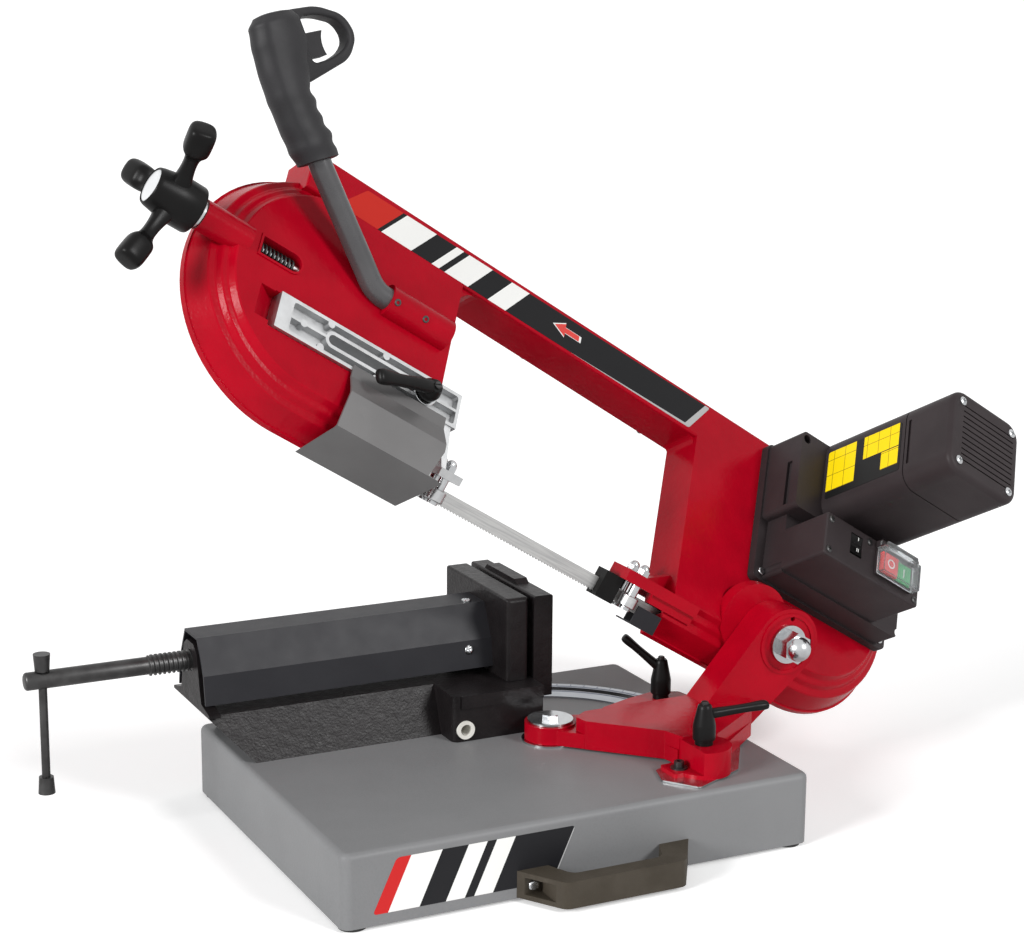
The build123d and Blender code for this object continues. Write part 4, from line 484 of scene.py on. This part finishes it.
# Steps in a turn of a coil; gaps in millimetres that are welded, and that an upright edge may lean.
WIND_STEPS = 28
WELD = 0.001
UPRIGHT_SLACK = 1e-4


class Bench:
    """Modelling moves, each made with Blender's own tools on pieces in millimetres."""

    @staticmethod
    def clear() -> None:
        """Leave edit mode and deselect everything."""
        if bpy.context.mode != "OBJECT":
            bpy.ops.object.mode_set(mode="OBJECT")
        bpy.ops.object.select_all(action="DESELECT")

    @classmethod
    def hold(cls, piece: Piece) -> None:
        """Make one piece the only selected and active one."""
        cls.clear()
        piece.select_set(True)
        bpy.context.view_layer.objects.active = piece

    @classmethod
    def edit(cls, piece: Piece) -> bmesh.types.BMesh:
        """Open a piece in edit mode and return its mesh."""
        cls.hold(piece)
        bpy.ops.object.mode_set(mode="EDIT")
        return bmesh.from_edit_mesh(piece.data)

    @classmethod
    def circle(cls, name: str, count: int) -> Piece:
        """A filled circle of radius one to start from."""
        cls.clear()
        bpy.ops.mesh.primitive_circle_add(vertices=count, radius=1.0, fill_type="NGON")
        piece = bpy.context.active_object
        piece.name = name
        piece.data.name = name
        return piece

    @classmethod
    def close(cls) -> None:
        """Point all faces outwards and leave edit mode."""
        bpy.ops.mesh.select_all(action="SELECT")
        bpy.ops.mesh.normals_make_consistent(inside=False)
        bpy.ops.object.mode_set(mode="OBJECT")

    @classmethod
    def drawn(cls, name: str, stations: Sequence[Station], sides: int, square: float = 0.0) -> Piece:
        """Shape drawn up Z through its cross-sections.

        Args:
            stations: Cross-sections in the order they are drawn.
            sides: Corners of each section.
            square: How far the sections are pushed from an ellipse towards a rectangle.
        """
        piece = cls.circle(name, sides)
        mesh = cls.edit(piece)
        if square:
            for vert in mesh.verts:
                reach = max(abs(vert.co.x), abs(vert.co.y))
                vert.co *= (1 - square) + square / reach
            bmesh.update_edit_mesh(piece.data)
        first = stations[0]
        bpy.ops.mesh.select_all(action="SELECT")
        bpy.ops.transform.resize(value=(first.rx, first.ry, 1), center_override=(0, 0, 0))
        bpy.ops.transform.translate(value=(first.dx, 0, first.z))
        for last, new in zip(stations, stations[1:]):
            step = (new.dx - last.dx, 0, new.z - last.z)
            bpy.ops.mesh.extrude_region_move(TRANSFORM_OT_translate={"value": step})
            ratio = (new.rx / last.rx, new.ry / last.ry, 1)
            bpy.ops.transform.resize(value=ratio, center_override=(new.dx, 0, new.z))
        cls.close()
        return piece

    @classmethod
    def turned(cls, name: str, pairs: Sequence[Point], sides: int, square: float = 0.0) -> Piece:
        """Round shape drawn through pairs of height and radius."""
        return cls.drawn(name, [Station(z, r, r) for z, r in pairs], sides, square)

    @classmethod
    def outline(cls, name: str, points: Sequence[Triple]) -> Tuple[Piece, bmesh.types.BMesh]:
        """A face through points, open in edit mode, and its mesh."""
        piece = cls.circle(name, len(points))
        mesh = cls.edit(piece)
        mesh.verts.ensure_lookup_table()
        for vert, point in zip(mesh.verts, points):
            vert.co = point
        bmesh.update_edit_mesh(piece.data)
        return piece, mesh

    @classmethod
    def plate(cls, name: str, outline: Sequence[Point], low: float, high: float) -> Piece:
        """Flat piece from an outline, extruded between two heights."""
        piece, _ = cls.outline(name, [(x, y, low) for x, y in outline])
        bpy.ops.mesh.select_all(action="SELECT")
        bpy.ops.mesh.extrude_region_move(TRANSFORM_OT_translate={"value": (0, 0, high - low)})
        cls.close()
        return piece

    @classmethod
    def round_uprights(cls, piece: Piece, radius: float, segments: int) -> None:
        """Round the edges that run along Z."""
        mesh = cls.edit(piece)
        bpy.ops.mesh.select_all(action="DESELECT")
        bpy.ops.mesh.select_mode(type="EDGE")
        for edge in mesh.edges:
            a, b = (vert.co for vert in edge.verts)
            edge.select_set((a - b).xy.length < UPRIGHT_SLACK)
        bmesh.update_edit_mesh(piece.data)
        bpy.ops.mesh.bevel(offset=radius, segments=segments, affect="EDGES")
        bpy.ops.mesh.select_mode(type="VERT")
        cls.close()

    @classmethod
    def apply(cls, piece: Piece, kind: str, **settings: object) -> None:
        """Add one modifier and apply it."""
        cls.hold(piece)
        made = piece.modifiers.new(kind.lower(), kind)
        for key, value in settings.items():
            setattr(made, key, value)
        bpy.ops.object.modifier_apply(modifier=made.name)

    @classmethod
    def smooth_over(cls, piece: Piece) -> None:
        """Subdivide once to a smooth surface."""
        cls.apply(piece, "SUBSURF", levels=1, render_levels=1)

    @classmethod
    def combine(cls, piece: Piece, tool: Piece, how: str = "DIFFERENCE") -> None:
        """Cut a piece with a tool, or join them; the tool is used up."""
        cls.apply(piece, "BOOLEAN", object=tool, operation=how, solver="EXACT")
        cls.hold(tool)
        bpy.ops.object.delete()

    @classmethod
    def shift(cls, piece: Piece, place: Matrix) -> Piece:
        """Put a piece into a frame, with its place in its mesh."""
        cls.hold(piece)
        piece.matrix_world = place
        bpy.ops.object.transform_apply(location=True, rotation=True, scale=True)
        return piece

    @classmethod
    def gather(cls, name: str, pieces: Sequence[Piece]) -> Piece:
        """Join separate pieces into one object."""
        cls.clear()
        for one in pieces:
            one.select_set(True)
        bpy.context.view_layer.objects.active = pieces[0]
        bpy.ops.object.join()
        pieces[0].name = name
        pieces[0].data.name = name
        return pieces[0]

    @classmethod
    def wound(cls, name: str, profile: Sequence[Point], pitch: float, turns: int, closed: bool) -> Piece:
        """A line or ring of points wound about Z.

        Args:
            profile: Points as radius and height.
            pitch: Rise of one turn.
            turns: Count of turns.
            closed: True for a wire's ring, False for the line of a thread.
        """
        piece, mesh = cls.outline(name, [(radius, 0.0, z) for radius, z in profile])
        bmesh.ops.delete(mesh, geom=list(mesh.faces), context="FACES_ONLY")
        if not closed:
            ends = {mesh.verts[0], mesh.verts[len(profile) - 1]}
            last = [edge for edge in mesh.edges if set(edge.verts) == ends]
            bmesh.ops.delete(mesh, geom=last, context="EDGES")
        bmesh.update_edit_mesh(piece.data)
        bpy.ops.object.mode_set(mode="OBJECT")
        cls.apply(piece, "SCREW", axis="Z", screw_offset=pitch, iterations=turns, steps=WIND_STEPS,
                  render_steps=WIND_STEPS, use_merge_vertices=True, merge_threshold=WELD)
        cls.edit(piece)
        bpy.ops.mesh.select_all(action="SELECT")
        bpy.ops.mesh.remove_doubles(threshold=WELD)
        bpy.ops.mesh.select_all(action="SELECT")
        bpy.ops.mesh.fill_holes(sides=0)
        cls.close()
        return piece

    @classmethod
    def dress(cls, piece: Piece, look: Look, body: str, slot: str, place: Matrix,
              stands_for: Sequence[str] = (), angle: float = 35.0) -> None:
        """Put a finished piece in its place, and give it its material and its body.

        Args:
            piece: The piece, as it was modelled.
            look: Its finish.
            body: The body it moves with.
            slot: Not used.
            place: The frame that it was modelled in.
            stands_for: Nodes that it replaces.
            angle: Edges sharper than this stay sharp.
        """
        cls.shift(piece, place)
        bpy.ops.object.shade_smooth_by_angle(angle=math.radians(angle))
        piece.data.materials.clear()
        piece.data.materials.append(look.material())
        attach(piece, body)
        if stands_for:
            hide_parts(*stands_for)
        log.info("%s rides on %s", piece.name, body)


def rectangle(x0: float, x1: float, y0: float, y1: float) -> List[Point]:
    """Corners of a rectangle in turn."""
    return [(x0, y0), (x1, y0), (x1, y1), (x0, y1)]


def wire_ring(radius: float, wire: float, count: int = 10) -> List[Point]:
    """Round section of a coil's wire, as points of radius and height."""
    spins = [2 * math.pi * k / count for k in range(count)]
    return [(radius + wire * math.cos(spin), wire * math.sin(spin)) for spin in spins]


# Profile of a pan head and its recess, as shares of its height and of its radius.
PAN_HEAD = ((0.0, 1.0), (0.45, 1.0), (0.8, 0.82), (1.0, 0.5))
RECESS_FLOOR, RECESS_LONG, RECESS_WIDE = 0.45, 0.55, 0.13


def cross_screw(name: str, radius: float, head: float) -> Piece:
    """Pan head with a cross recess, standing on z = 0."""
    pairs = [(head * up, radius * out) for up, out in PAN_HEAD]
    piece = Bench.turned(name, pairs, 20)
    arm = radius * RECESS_LONG
    wide = radius * RECESS_WIDE
    for outline in (rectangle(-arm, arm, -wide, wide), rectangle(-wide, wide, -arm, arm)):
        tool = Bench.plate("recess", outline, head * RECESS_FLOOR, head * 2)
        Bench.combine(piece, tool)
    return piece


# Profile of a clamp lever's hub, as shares of its height and of its radius.
LEVER_HUB = ((0.0, 0.80), (0.11, 0.80), (0.13, 0.98), (0.16, 1.0), (0.46, 1.0), (0.52, 0.97),
             (0.90, 0.66), (0.97, 0.60), (1.0, 0.5))
# Sections of its arm: share of the length, half thickness and half width.
LEVER_ARM = ((0.0, 4.6, 5.6), (0.22, 4.0, 4.8), (0.5, 3.5, 4.2), (0.72, 3.5, 4.4), (0.85, 4.0, 5.4),
             (0.96, 3.9, 5.5), (1.0, 2.8, 4.2))


@dataclass
class ClampLever:
    """Hand lever: tapered hub with a screw in its top, a flat arm, a stud and perhaps a washer."""

    node: str
    body: str
    place: Matrix
    radius: float
    height: float
    reach: float
    rise: float
    stud: Point
    stout: float = 1.0
    washer: float = 0.0
    arm_root: float = 0.74
    arm_end: float = 6.5
    slit: float = 0.6

    def build(self) -> None:
        """Model the lever and let it stand for its node."""
        hub = self.hub()
        steel = Bench.gather(self.node + "_steel", self.hardware())
        Bench.dress(hub, Look.BLACK, self.body, "black_plastic", self.place, (self.node,))
        Bench.dress(steel, Look.OXIDE, self.body, "black_steel", self.place)
        if self.washer:
            rim = self.washer
            pairs = ((-1.9, rim - 0.3), (-1.6, rim), (-0.3, rim), (0.0, rim - 0.3))
            disc = Bench.turned(self.node + "_washer", pairs, 40)
            Bench.dress(disc, Look.ZINC, self.body, "zinc", self.place)

    def hub(self) -> Piece:
        """The moulded hub with its arm."""
        h = self.height
        pairs = [(h * up, self.radius * out) for up, out in LEVER_HUB]
        hub = Bench.turned(self.node + "_hub", pairs, 32)
        root = Vector((0, 0, h * self.arm_root))
        span = Vector((self.reach + self.arm_end, 0, h + self.rise)) - root
        sections = [Station(span.length * up, thick * self.stout, wide * self.stout)
                    for up, thick, wide in LEVER_ARM]
        arm = Bench.drawn(self.node + "_arm", sections, 16, 0.3)
        Bench.smooth_over(arm)
        Bench.shift(arm, Matrix.Translation(root) @ facing(span, Z))
        Bench.combine(hub, arm, "UNION")
        return hub

    def hardware(self) -> List[Piece]:
        """The slotted screw in the top and the stud below."""
        r = self.radius
        h = self.height
        pairs = ((h * 0.9, r * 0.34), (h + 1.8, r * 0.34), (h + 2.6, r * 0.26))
        screw = Bench.turned(self.node + "_screw", pairs, 16)
        slit = Bench.plate("slit", rectangle(-r, r, -self.slit, self.slit), h + 1.2, h + 9)
        Bench.combine(screw, slit)
        low, high = self.stud
        pairs = ((low, 3.4), (low + 0.8, 4.0), (high, 4.0))
        return [screw, Bench.turned(self.node + "_stud", pairs, 24)]


REAR_CLAMP = ClampLever(
    "rear_lock_lever", "rear_lock", BASE @ at(179.196, 33.05, 72.3) @ turn(150, "Z"),
    radius=9.0, height=36.0, reach=28.0, rise=20.0, stud=(-20.9, 4.0))
FRONT_CLAMP = ClampLever(
    "front_lock_lever", "front_lock", BASE @ at(128.0, -126.0, 88.3) @ turn(-4, "Z"),
    radius=9.5, height=34.0, reach=52.0, rise=-7.0, stud=(-15.0, 4.0))
GUIDE_CLAMP = ClampLever(
    "guide_lever", "guide_clamp", BOW @ at(-58.0, 62.0, 31.7) @ turn(203, "Z"),
    radius=9.6, height=15.0, reach=58.0, rise=6.0, stud=(-20.6, 4.0), stout=1.22, washer=11.5)


@dataclass
class TensionKnob:
    """Three-armed knob with a pale cap, and the spring behind it; profiles are distance and radius."""

    t: float = 110.0
    z: float = 19.2
    angles: Triple = (69.0, -51.0, -171.0)
    arm_from: float = 307.7
    arm_slope: float = 0.286
    hub: Points = (
        (295.1, 4.0), (295.1, 14.2), (288.8, 14.2), (288.6, 14.6), (288.6, 17.8), (289.4, 19.2),
        (291.0, 19.8), (307, 20.0), (311, 19.4), (326, 16.6), (328.6, 15.8), (329.6, 15.2),
        (330.0, 14.4), (328.8, 14.0), (328.8, 3.0))
    arm: Points = (
        (6, 9.4), (15, 8.6), (23, 6.6), (32, 5.6), (40, 5.6), (44, 6.8), (47, 9.3), (49, 10.5),
        (52, 10.9), (63, 11.1), (66.5, 10.8), (69, 9.6), (70, 7.6), (70.3, 4.0))
    cap: Points = ((327.8, 13.7), (329.0, 13.7), (329.6, 13.0), (329.9, 10.0), (330.0, 4.0))
    spring_from: float = -230.0
    spring_length: float = 38.0
    coil: float = 5.2
    wire: float = 0.9
    turns: int = 9

    def build(self) -> None:
        """Model the knob, the cap and the spring."""
        # Local Z runs out of the nose; local X and Y are across it.
        place = BOW @ at(0, self.t, self.z) @ facing(-X, Y)
        knob = Bench.turned("knob_hub", self.hub, 40)
        for angle in self.angles:
            arm = Bench.turned("knob_arm", self.arm, 20, 0.55)
            Bench.smooth_over(arm)
            spin = math.radians(angle)
            # The angle runs from local t towards local z of the bow.
            out = Vector((math.cos(spin), -math.sin(spin), self.arm_slope)).normalized()
            Bench.shift(arm, at(0, 0, self.arm_from) @ facing(out, Z))
            Bench.combine(knob, arm, "UNION")
        Bench.dress(knob, Look.BLACK, "knob", "black_plastic", place, ("tension_knob",))
        cap = Bench.turned("knob_cap", self.cap, 40)
        Bench.dress(cap, Look.CAP, "knob", "nylon", place)
        pitch = (self.spring_length - 2 * self.wire - 3.0) / self.turns
        spring = Bench.wound("tension_coil", wire_ring(self.coil, self.wire), pitch, self.turns, True)
        start = at(self.spring_from + self.wire + 0.3, self.t, self.z)
        Bench.dress(spring, Look.OXIDE, "bow", "black_steel",
                    BOW @ start @ facing(X, Y), ("tension_spring",), 60)


@dataclass
class AxleSpring:
    """Torsion spring round the swing axle."""

    start: float = -29.75
    wire: float = 1.25
    radius: float = 13.2
    pitch: float = 3.2
    turns: int = 4

    def build(self) -> None:
        """Model the coil."""
        coil = Bench.wound("axle_coil", wire_ring(self.radius, self.wire), self.pitch, self.turns, True)
        place = BASE @ at(AXLE.x, self.start, AXLE.z)
        Bench.dress(coil, Look.STEEL, "swivel", "steel",
                    place @ facing(Y, X), ("return_spring",), 60)


@dataclass
class PullHandle:
    """Moulded grip with finger waves and a closed guard, and the set screws of its tube.

    A section is height, breadth, thickness and offset. The guard lies in X and Z of the grip.
    """

    low: Triple = (-215.6, 182.3, 60.0)
    high: Triple = (-251.6, 219.6, 69.2)
    front: Triple = (0.81, 0.58, 0.0)
    guard_outer: Points = (
        (6, 60), (31, 66), (60, 73), (74, 90), (67, 109), (41, 120), (8, 121), (-6, 100))
    guard_inner: Points = (
        (20, 75), (40, 76.5), (57, 81.5), (66, 91), (60.5, 105), (40, 112.5), (20, 113.5))
    sections: Tuple[Box, ...] = (
        (0, 34, 30, -1), (14, 38, 33, -3), (36, 37, 31, -7), (58, 38, 31, -9), (75, 44, 32, -7),
        (95, 50, 33, -3), (112, 46, 32, -2), (121, 34, 24, -1))
    foot: Station = Station(0.0, 15.5, 13.6, -1.0)
    crown: Station = Station(120.8, 12.0, 8.0, -1.0)
    first: float = 0.6
    step: float = 1.75
    steps: int = 69
    wave: float = 2.6
    wave_pitch: float = 14.0
    wave_zone: Point = (5.0, 62.0)
    slot_half: float = 5.3
    slot_heights: Point = (79.7, 100.3)
    set_screws_s: Point = (-107.3, -78.4)
    set_screws_at: Point = (118.4, 40.8)

    def place(self) -> Matrix:
        """Frame on the grip: Z along it and X towards the finger guard."""
        low = Vector(self.low)
        way = (Vector(self.high) - low).normalized()
        return BOW @ Matrix.Translation(low + way * 2) @ facing(way, self.front)

    def width(self, z: float) -> Triple:
        """Breadth, thickness and offset of the grip at a height."""
        for low, high in zip(self.sections, self.sections[1:]):
            if low[0] <= z <= high[0]:
                part = (z - low[0]) / (high[0] - low[0])
                part = part * part * (3 - 2 * part)
                return tuple(a + (b - a) * part for a, b in zip(low[1:], high[1:]))
        return self.sections[-1][1:]

    def station(self, z: float) -> Station:
        """Section of the grip with its finger wave."""
        long, wide, offset = self.width(z)
        start, end = self.wave_zone
        dip = 0.0
        if start < z < end:
            dip = self.wave * (0.5 - 0.5 * math.cos(2 * math.pi * (z - start) / self.wave_pitch))
        return Station(z, (long - dip) / 2, wide / 2, offset - dip / 2)

    def build(self) -> None:
        """Model the grip with its guard, its trigger slot and the set screws."""
        middle = [self.station(self.first + self.step * k) for k in range(self.steps)]
        grip = Bench.drawn("grip_shell", [self.foot, *middle, self.crown], 40, 0.16)
        outer = Bench.plate("guard", self.guard_outer, -7.0, 7.0)
        Bench.round_uprights(outer, 8.0, 6)
        inner = Bench.plate("guard_hole", self.guard_inner, -20.0, 20.0)
        Bench.round_uprights(inner, 6.0, 6)
        Bench.combine(outer, inner)
        Bench.apply(outer, "BEVEL", width=2.6, segments=4, limit_method="ANGLE",
                    angle_limit=math.radians(50))
        # The guard is drawn in X and Y, and stands in X and Z of the grip.
        Bench.shift(outer, turn(90, "X"))
        Bench.combine(grip, outer, "UNION")
        outline = rectangle(4, 40, -self.slot_half, self.slot_half)
        Bench.combine(grip, Bench.plate("trigger_slot", outline, *self.slot_heights))
        Bench.dress(grip, Look.GRIP, "bow", "black_plastic", self.place(), ("handle_grip",), 40)
        self.set_screws()

    def set_screws(self) -> None:
        """Two socket set screws that hold the tube in its boss."""
        face = facing((0, -0.4, 0.917), X)
        group = []
        for s in self.set_screws_s:
            one = Bench.turned("set_screw", ((-1.0, 3.0), (0.3, 3.0), (0.6, 2.7)), 24)
            hole = Bench.turned("set_socket", ((-0.6, 1.7), (2.0, 1.7)), 6)
            Bench.combine(one, hole)
            group.append(Bench.shift(one, at(s, *self.set_screws_at) @ face))
        Bench.dress(Bench.gather("tube_set_screws", group), Look.OXIDE, "bow", "black_steel", BOW)


@dataclass
class ViceScrew:
    """Lead screw with its thread, and the screws of the folded cover."""

    y: float = 105.0
    z: float = 142.0
    left: float = -373.0
    thread_left: float = -272.0
    thread_right: float = 27.6
    tip: float = 45.7
    pitch: float = 4.0
    radius: float = 7.5
    tee_at: float = -358.0
    tee_hole: float = 3.56
    thread: Points = ((7.5, 0.0), (7.55, 0.9), (8.95, 1.6), (8.95, 2.6), (7.55, 3.3), (7.5, 4.0))

    def build(self) -> None:
        """Model the screw and the cover's screws."""
        # Local Z runs along the screw from its left end.
        place = BASE @ at(self.left, self.y, self.z) @ facing(X, Z)
        neck = self.thread_left - self.left
        r = self.radius
        pairs = ((0, 5.8), (0.6, 6.8), (1.8, r), (neck, r), (neck + 3, r))
        rod = Bench.turned("screw_rod", pairs, 32)
        hole = Bench.turned("tee_hole", ((-20, self.tee_hole), (20, self.tee_hole)), 24)
        Bench.shift(hole, at(0, 0, self.tee_at - self.left) @ turn(90, "Y"))
        Bench.combine(rod, hole)
        turns = int((self.thread_right - self.thread_left) / self.pitch) - 1
        thread = Bench.wound("screw_thread", self.thread, self.pitch, turns, False)
        Bench.shift(thread, at(0, 0, neck))
        end = self.tip - self.left
        pairs = ((neck + 1, 7.3), (end - 22, 7.3), (end - 20, 7.0), (end - 1, 7.0), (end, 6.0))
        core = Bench.turned("screw_core", pairs, 24)
        screw = Bench.gather("lead_screw", [rod, thread, core])
        Bench.dress(screw, Look.OXIDE, "screw", "black_steel", place, ("vice_screw",))
        self.cover_screws()

    def cover_screws(self) -> None:
        """Two cross screws that hold the folded cover to the jaw."""
        lean = facing((0, -1.0, 0.135), X)
        spots = (at(9.0, self.y - 32.1, 128.0) @ lean, at(17.0, self.y - 9.0, 165.0))
        group = [Bench.shift(cross_screw("channel_screw", 4.2, 2.4), spot) for spot in spots]
        Bench.dress(Bench.gather("channel_screws", group), Look.ZINC, "jaw", "zinc", BASE)


@dataclass
class MotorTrim:
    """Chart, screws and switch marks on the motor unit."""

    end: float = 226.0
    face: float = 110.0
    side: float = 345.0
    chart: Box = (80.0, 168.0, 145.0, 194.5)
    corner_screws: Points = ((357.0, 200.0), (357.0, 140.0), (421.0, 140.0), (421.0, 200.0))
    box_screws: Points = ((327.5, 106.0), (327.5, 76.0), (437.0, 76.0), (376.0, 106.0))
    # Marks: s, t and height over the face of the switch box.
    stop_at: Triple = (397.5, 91.5, 7.0)
    start_at: Triple = (416.5, 91.5, 4.5)
    rocker_at: Triple = (360.0, 95.0, 2.0)
    rocker_bars: Points = ((-0.9, -5.5), (0.9, -5.5), (0.0, 5.5))

    def build(self) -> None:
        """Model the trim."""
        group = [Bench.shift(cross_screw("end_screw", 4.0, 1.8), at(s, t, self.end) @ turn(20 + s, "Z"))
                 for s, t in self.corner_screws]
        Bench.dress(Bench.gather("motor_screws", group), Look.ZINC, "bow", "zinc", BOW)
        group = [Bench.shift(cross_screw("box_screw", 3.2, 1.4), at(s, t, self.face) @ turn(10 + t, "Z"))
                 for s, t in self.box_screws]
        Bench.dress(Bench.gather("box_screws", group), Look.OXIDE, "bow", "black_steel", BOW)
        # Chart on the flat side of the can that faces the nose.
        chart = Bench.plate("chart_plate", rectangle(*self.chart), 0.0, 0.3)
        Bench.round_uprights(chart, 2.0, 3)
        swap = Matrix(((0, 0, -1, self.side), (0, 1, 0, 0), (1, 0, 0, 0), (0, 0, 0, 1)))
        Bench.dress(chart, Look.CHART, "bow", "black_plastic", BOW @ swap)
        self.marks()

    def over(self, place: Triple) -> Matrix:
        """Frame over the face of the switch box."""
        return BOW @ at(0, 0, self.face) @ at(*place)

    def marks(self) -> None:
        """Ring on the stop button, bar on the start button, marks on the rocker."""
        ring = Bench.turned("stop_ring", ((0.0, 4.4), (0.25, 4.4)), 32)
        hole = Bench.turned("ring_hole", ((-1.0, 3.3), (1.0, 3.3)), 32)
        Bench.combine(ring, hole)
        Bench.dress(ring, Look.MARK, "stop", "nylon", self.over(self.stop_at))
        bar = Bench.plate("start_bar", rectangle(-0.6, 0.6, -4.2, 4.2), 0.0, 0.25)
        Bench.dress(bar, Look.MARK, "start", "nylon", self.over(self.start_at))
        group = [Bench.plate("rocker_bar", rectangle(s - 0.35, s + 0.35, t - 1.6, t + 1.6), 0.0, 0.2)
                 for s, t in self.rocker_bars]
        Bench.dress(Bench.gather("rocker_bars", group), Look.MARK, "rocker", "nylon",
                    self.over(self.rocker_at))


@dataclass
class Prints:
    """Plain printed bands on the bar and the tray, a running arrow, and the bare face of the guide."""

    face: float = 26.0
    layers: Tuple[float, ...] = (0.2, 0.3, 0.4)
    band: Points = ((-150.0, 214.0), (-174.0, 185.0), (222.0, 178.0), (243.0, 209.5))
    arrow: Points = (
        (58, 198), (70, 204.5), (70, 200.7), (86, 200.4), (86, 195), (70, 195.3), (70, 191.5))
    arrow_middle: Point = (71.0, 198.0)
    arrow_rim: float = 1.16
    slide: Box = (-152.0, -63.0, 56.5, 67.5)
    slide_heights: Point = (14.02, 14.2)
    tray: Points = ((-183.0, 12.0), (-163.0, 55.0), (-11.0, 55.0), (-30.0, 12.0))
    tray_heights: Point = (165.0, 165.2)

    def build(self) -> None:
        """Lay the prints on their faces."""
        band_top, rim_top, arrow_top = (self.face + one for one in self.layers)
        band = Bench.plate("bar_band", self.band, self.face, band_top)
        Bench.round_uprights(band, 2.0, 3)
        Bench.dress(band, Look.BAR_PRINT, "bow", "red_paint", BOW)
        middle = Vector(self.arrow_middle)
        outline = [tuple(middle + (Vector(point) - middle) * self.arrow_rim) for point in self.arrow]
        rim = Bench.plate("arrow_rim", outline, band_top, rim_top)
        Bench.dress(rim, Look.MARK, "bow", "nylon", BOW)
        arrow = Bench.plate("running_arrow", self.arrow, rim_top, arrow_top)
        Bench.dress(arrow, Look.ARROW, "bow", "red_paint", BOW)
        face = Bench.plate("slide_face", rectangle(*self.slide), *self.slide_heights)
        Bench.dress(face, Look.STEEL, "bow", "steel", BOW)
        tray = Bench.plate("tray_band", self.tray, *self.tray_heights)
        Bench.round_uprights(tray, 3.0, 3)
        Bench.dress(tray, Look.TRAY_PRINT, "base", "tray_paint", BASE @ turn(90, "X"))


@dataclass
class Studio:
    """Camera, light and floor."""

    camera_at: Triple = (-0.8500, -1.6216, 0.7217)
    azimuth: float = -26.435
    elevation: float = 12.967
    roll: float = 0.449
    lens: float = 79.997
    sensor: float = 36.0
    surround: float = 0.36
    white: float = 1.0
    floor_size: float = 60.0
    floor_glow: float = 0.30

    def build(self) -> None:
        """Set the stage."""
        scene = bpy.context.scene
        data = bpy.data.cameras.new("photo_camera")
        data.sensor_fit = "HORIZONTAL"
        data.sensor_width = self.sensor
        data.lens = self.lens
        camera = bpy.data.objects.new("photo_camera", data)
        scene.collection.objects.link(camera)
        spin = turn(self.azimuth, "Z") @ turn(90 - self.elevation, "X") @ turn(self.roll, "Z")
        camera.matrix_world = Matrix.Translation(self.camera_at) @ spin
        scene.camera = camera
        scene.view_settings.view_transform = "Standard"
        self.sun("key_sun", (60.0, 0.0, 27.0), strength=1.8, spread=16.0)
        self.sun("fill_sun", (68.0, 0.0, -76.0), strength=2.7, spread=20.0)
        self.world()
        self.floor()

    @staticmethod
    def sun(name: str, angles: Triple, strength: float, spread: float) -> None:
        """A soft distant lamp, with its angles in degrees."""
        data = bpy.data.lights.new(name, "SUN")
        data.energy = strength
        data.angle = math.radians(spread)
        lamp = bpy.data.objects.new(name, data)
        lamp.rotation_euler = tuple(math.radians(one) for one in angles)
        bpy.context.scene.collection.objects.link(lamp)

    def world(self) -> None:
        """Even pale surround that looks white to the camera, in reflections and through clear pieces."""
        world = bpy.data.worlds.new("pale_room")
        bpy.context.scene.world = world
        world.use_nodes = True
        tree = world.node_tree
        tree.nodes.clear()
        add, link = tree.nodes.new, tree.links.new
        path = add("ShaderNodeLightPath")
        last = path.outputs["Is Camera Ray"]
        for ray in ("Is Glossy Ray", "Is Transmission Ray"):
            seen = add("ShaderNodeMath")
            seen.operation = "MAXIMUM"
            link(last, seen.inputs[0])
            link(path.outputs[ray], seen.inputs[1])
            last = seen.outputs[0]
        mix = add("ShaderNodeMixShader")
        link(last, mix.inputs[0])
        for socket, strength in ((1, self.surround), (2, self.white)):
            glow = add("ShaderNodeBackground")
            glow.inputs["Color"].default_value = (1, 1, 1, 1)
            glow.inputs["Strength"].default_value = strength
            link(glow.outputs[0], mix.inputs[socket])
        out = add("ShaderNodeOutputWorld")
        link(mix.outputs[0], out.inputs[0])

    def floor(self) -> None:
        """Wide pale floor that looks white to the camera."""
        Bench.clear()
        bpy.ops.mesh.primitive_plane_add(size=self.floor_size)
        plane = bpy.context.active_object
        plane.name = "floor"
        shade = Shade("pale_floor")
        cloud = shade.noise(shade.coordinates(), 3.0)
        shade.set("Base Color", shade.blend(cloud, (0.93,) * 3, (0.95,) * 3))
        shade.set("Roughness", 0.9)
        shade.set("Specular IOR Level", 0.0)
        shade.set("Emission Color", shade.node("ShaderNodeLightPath", {}, {}, "Is Camera Ray"))
        shade.set("Emission Strength", self.floor_glow)
        plane.data.materials.append(shade.material)


def paint_nodes() -> None:
    """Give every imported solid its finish."""
    for look, names in NODE_LOOKS.items():
        for name in names.split():
            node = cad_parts[name]
            node.data.materials.clear()
            node.data.materials.append(look.material())


def main() -> None:
    """Dress the saw."""
    logging.basicConfig(level=logging.INFO)
    Studio().build()
    paint_nodes()
    for part in (REAR_CLAMP, FRONT_CLAMP, TensionKnob(), AxleSpring(), PullHandle(), ViceScrew(),
                 MotorTrim(), Prints(), GUIDE_CLAMP):
        part.build()
    Bench.clear()


if __name__ == "__main__":
    main()
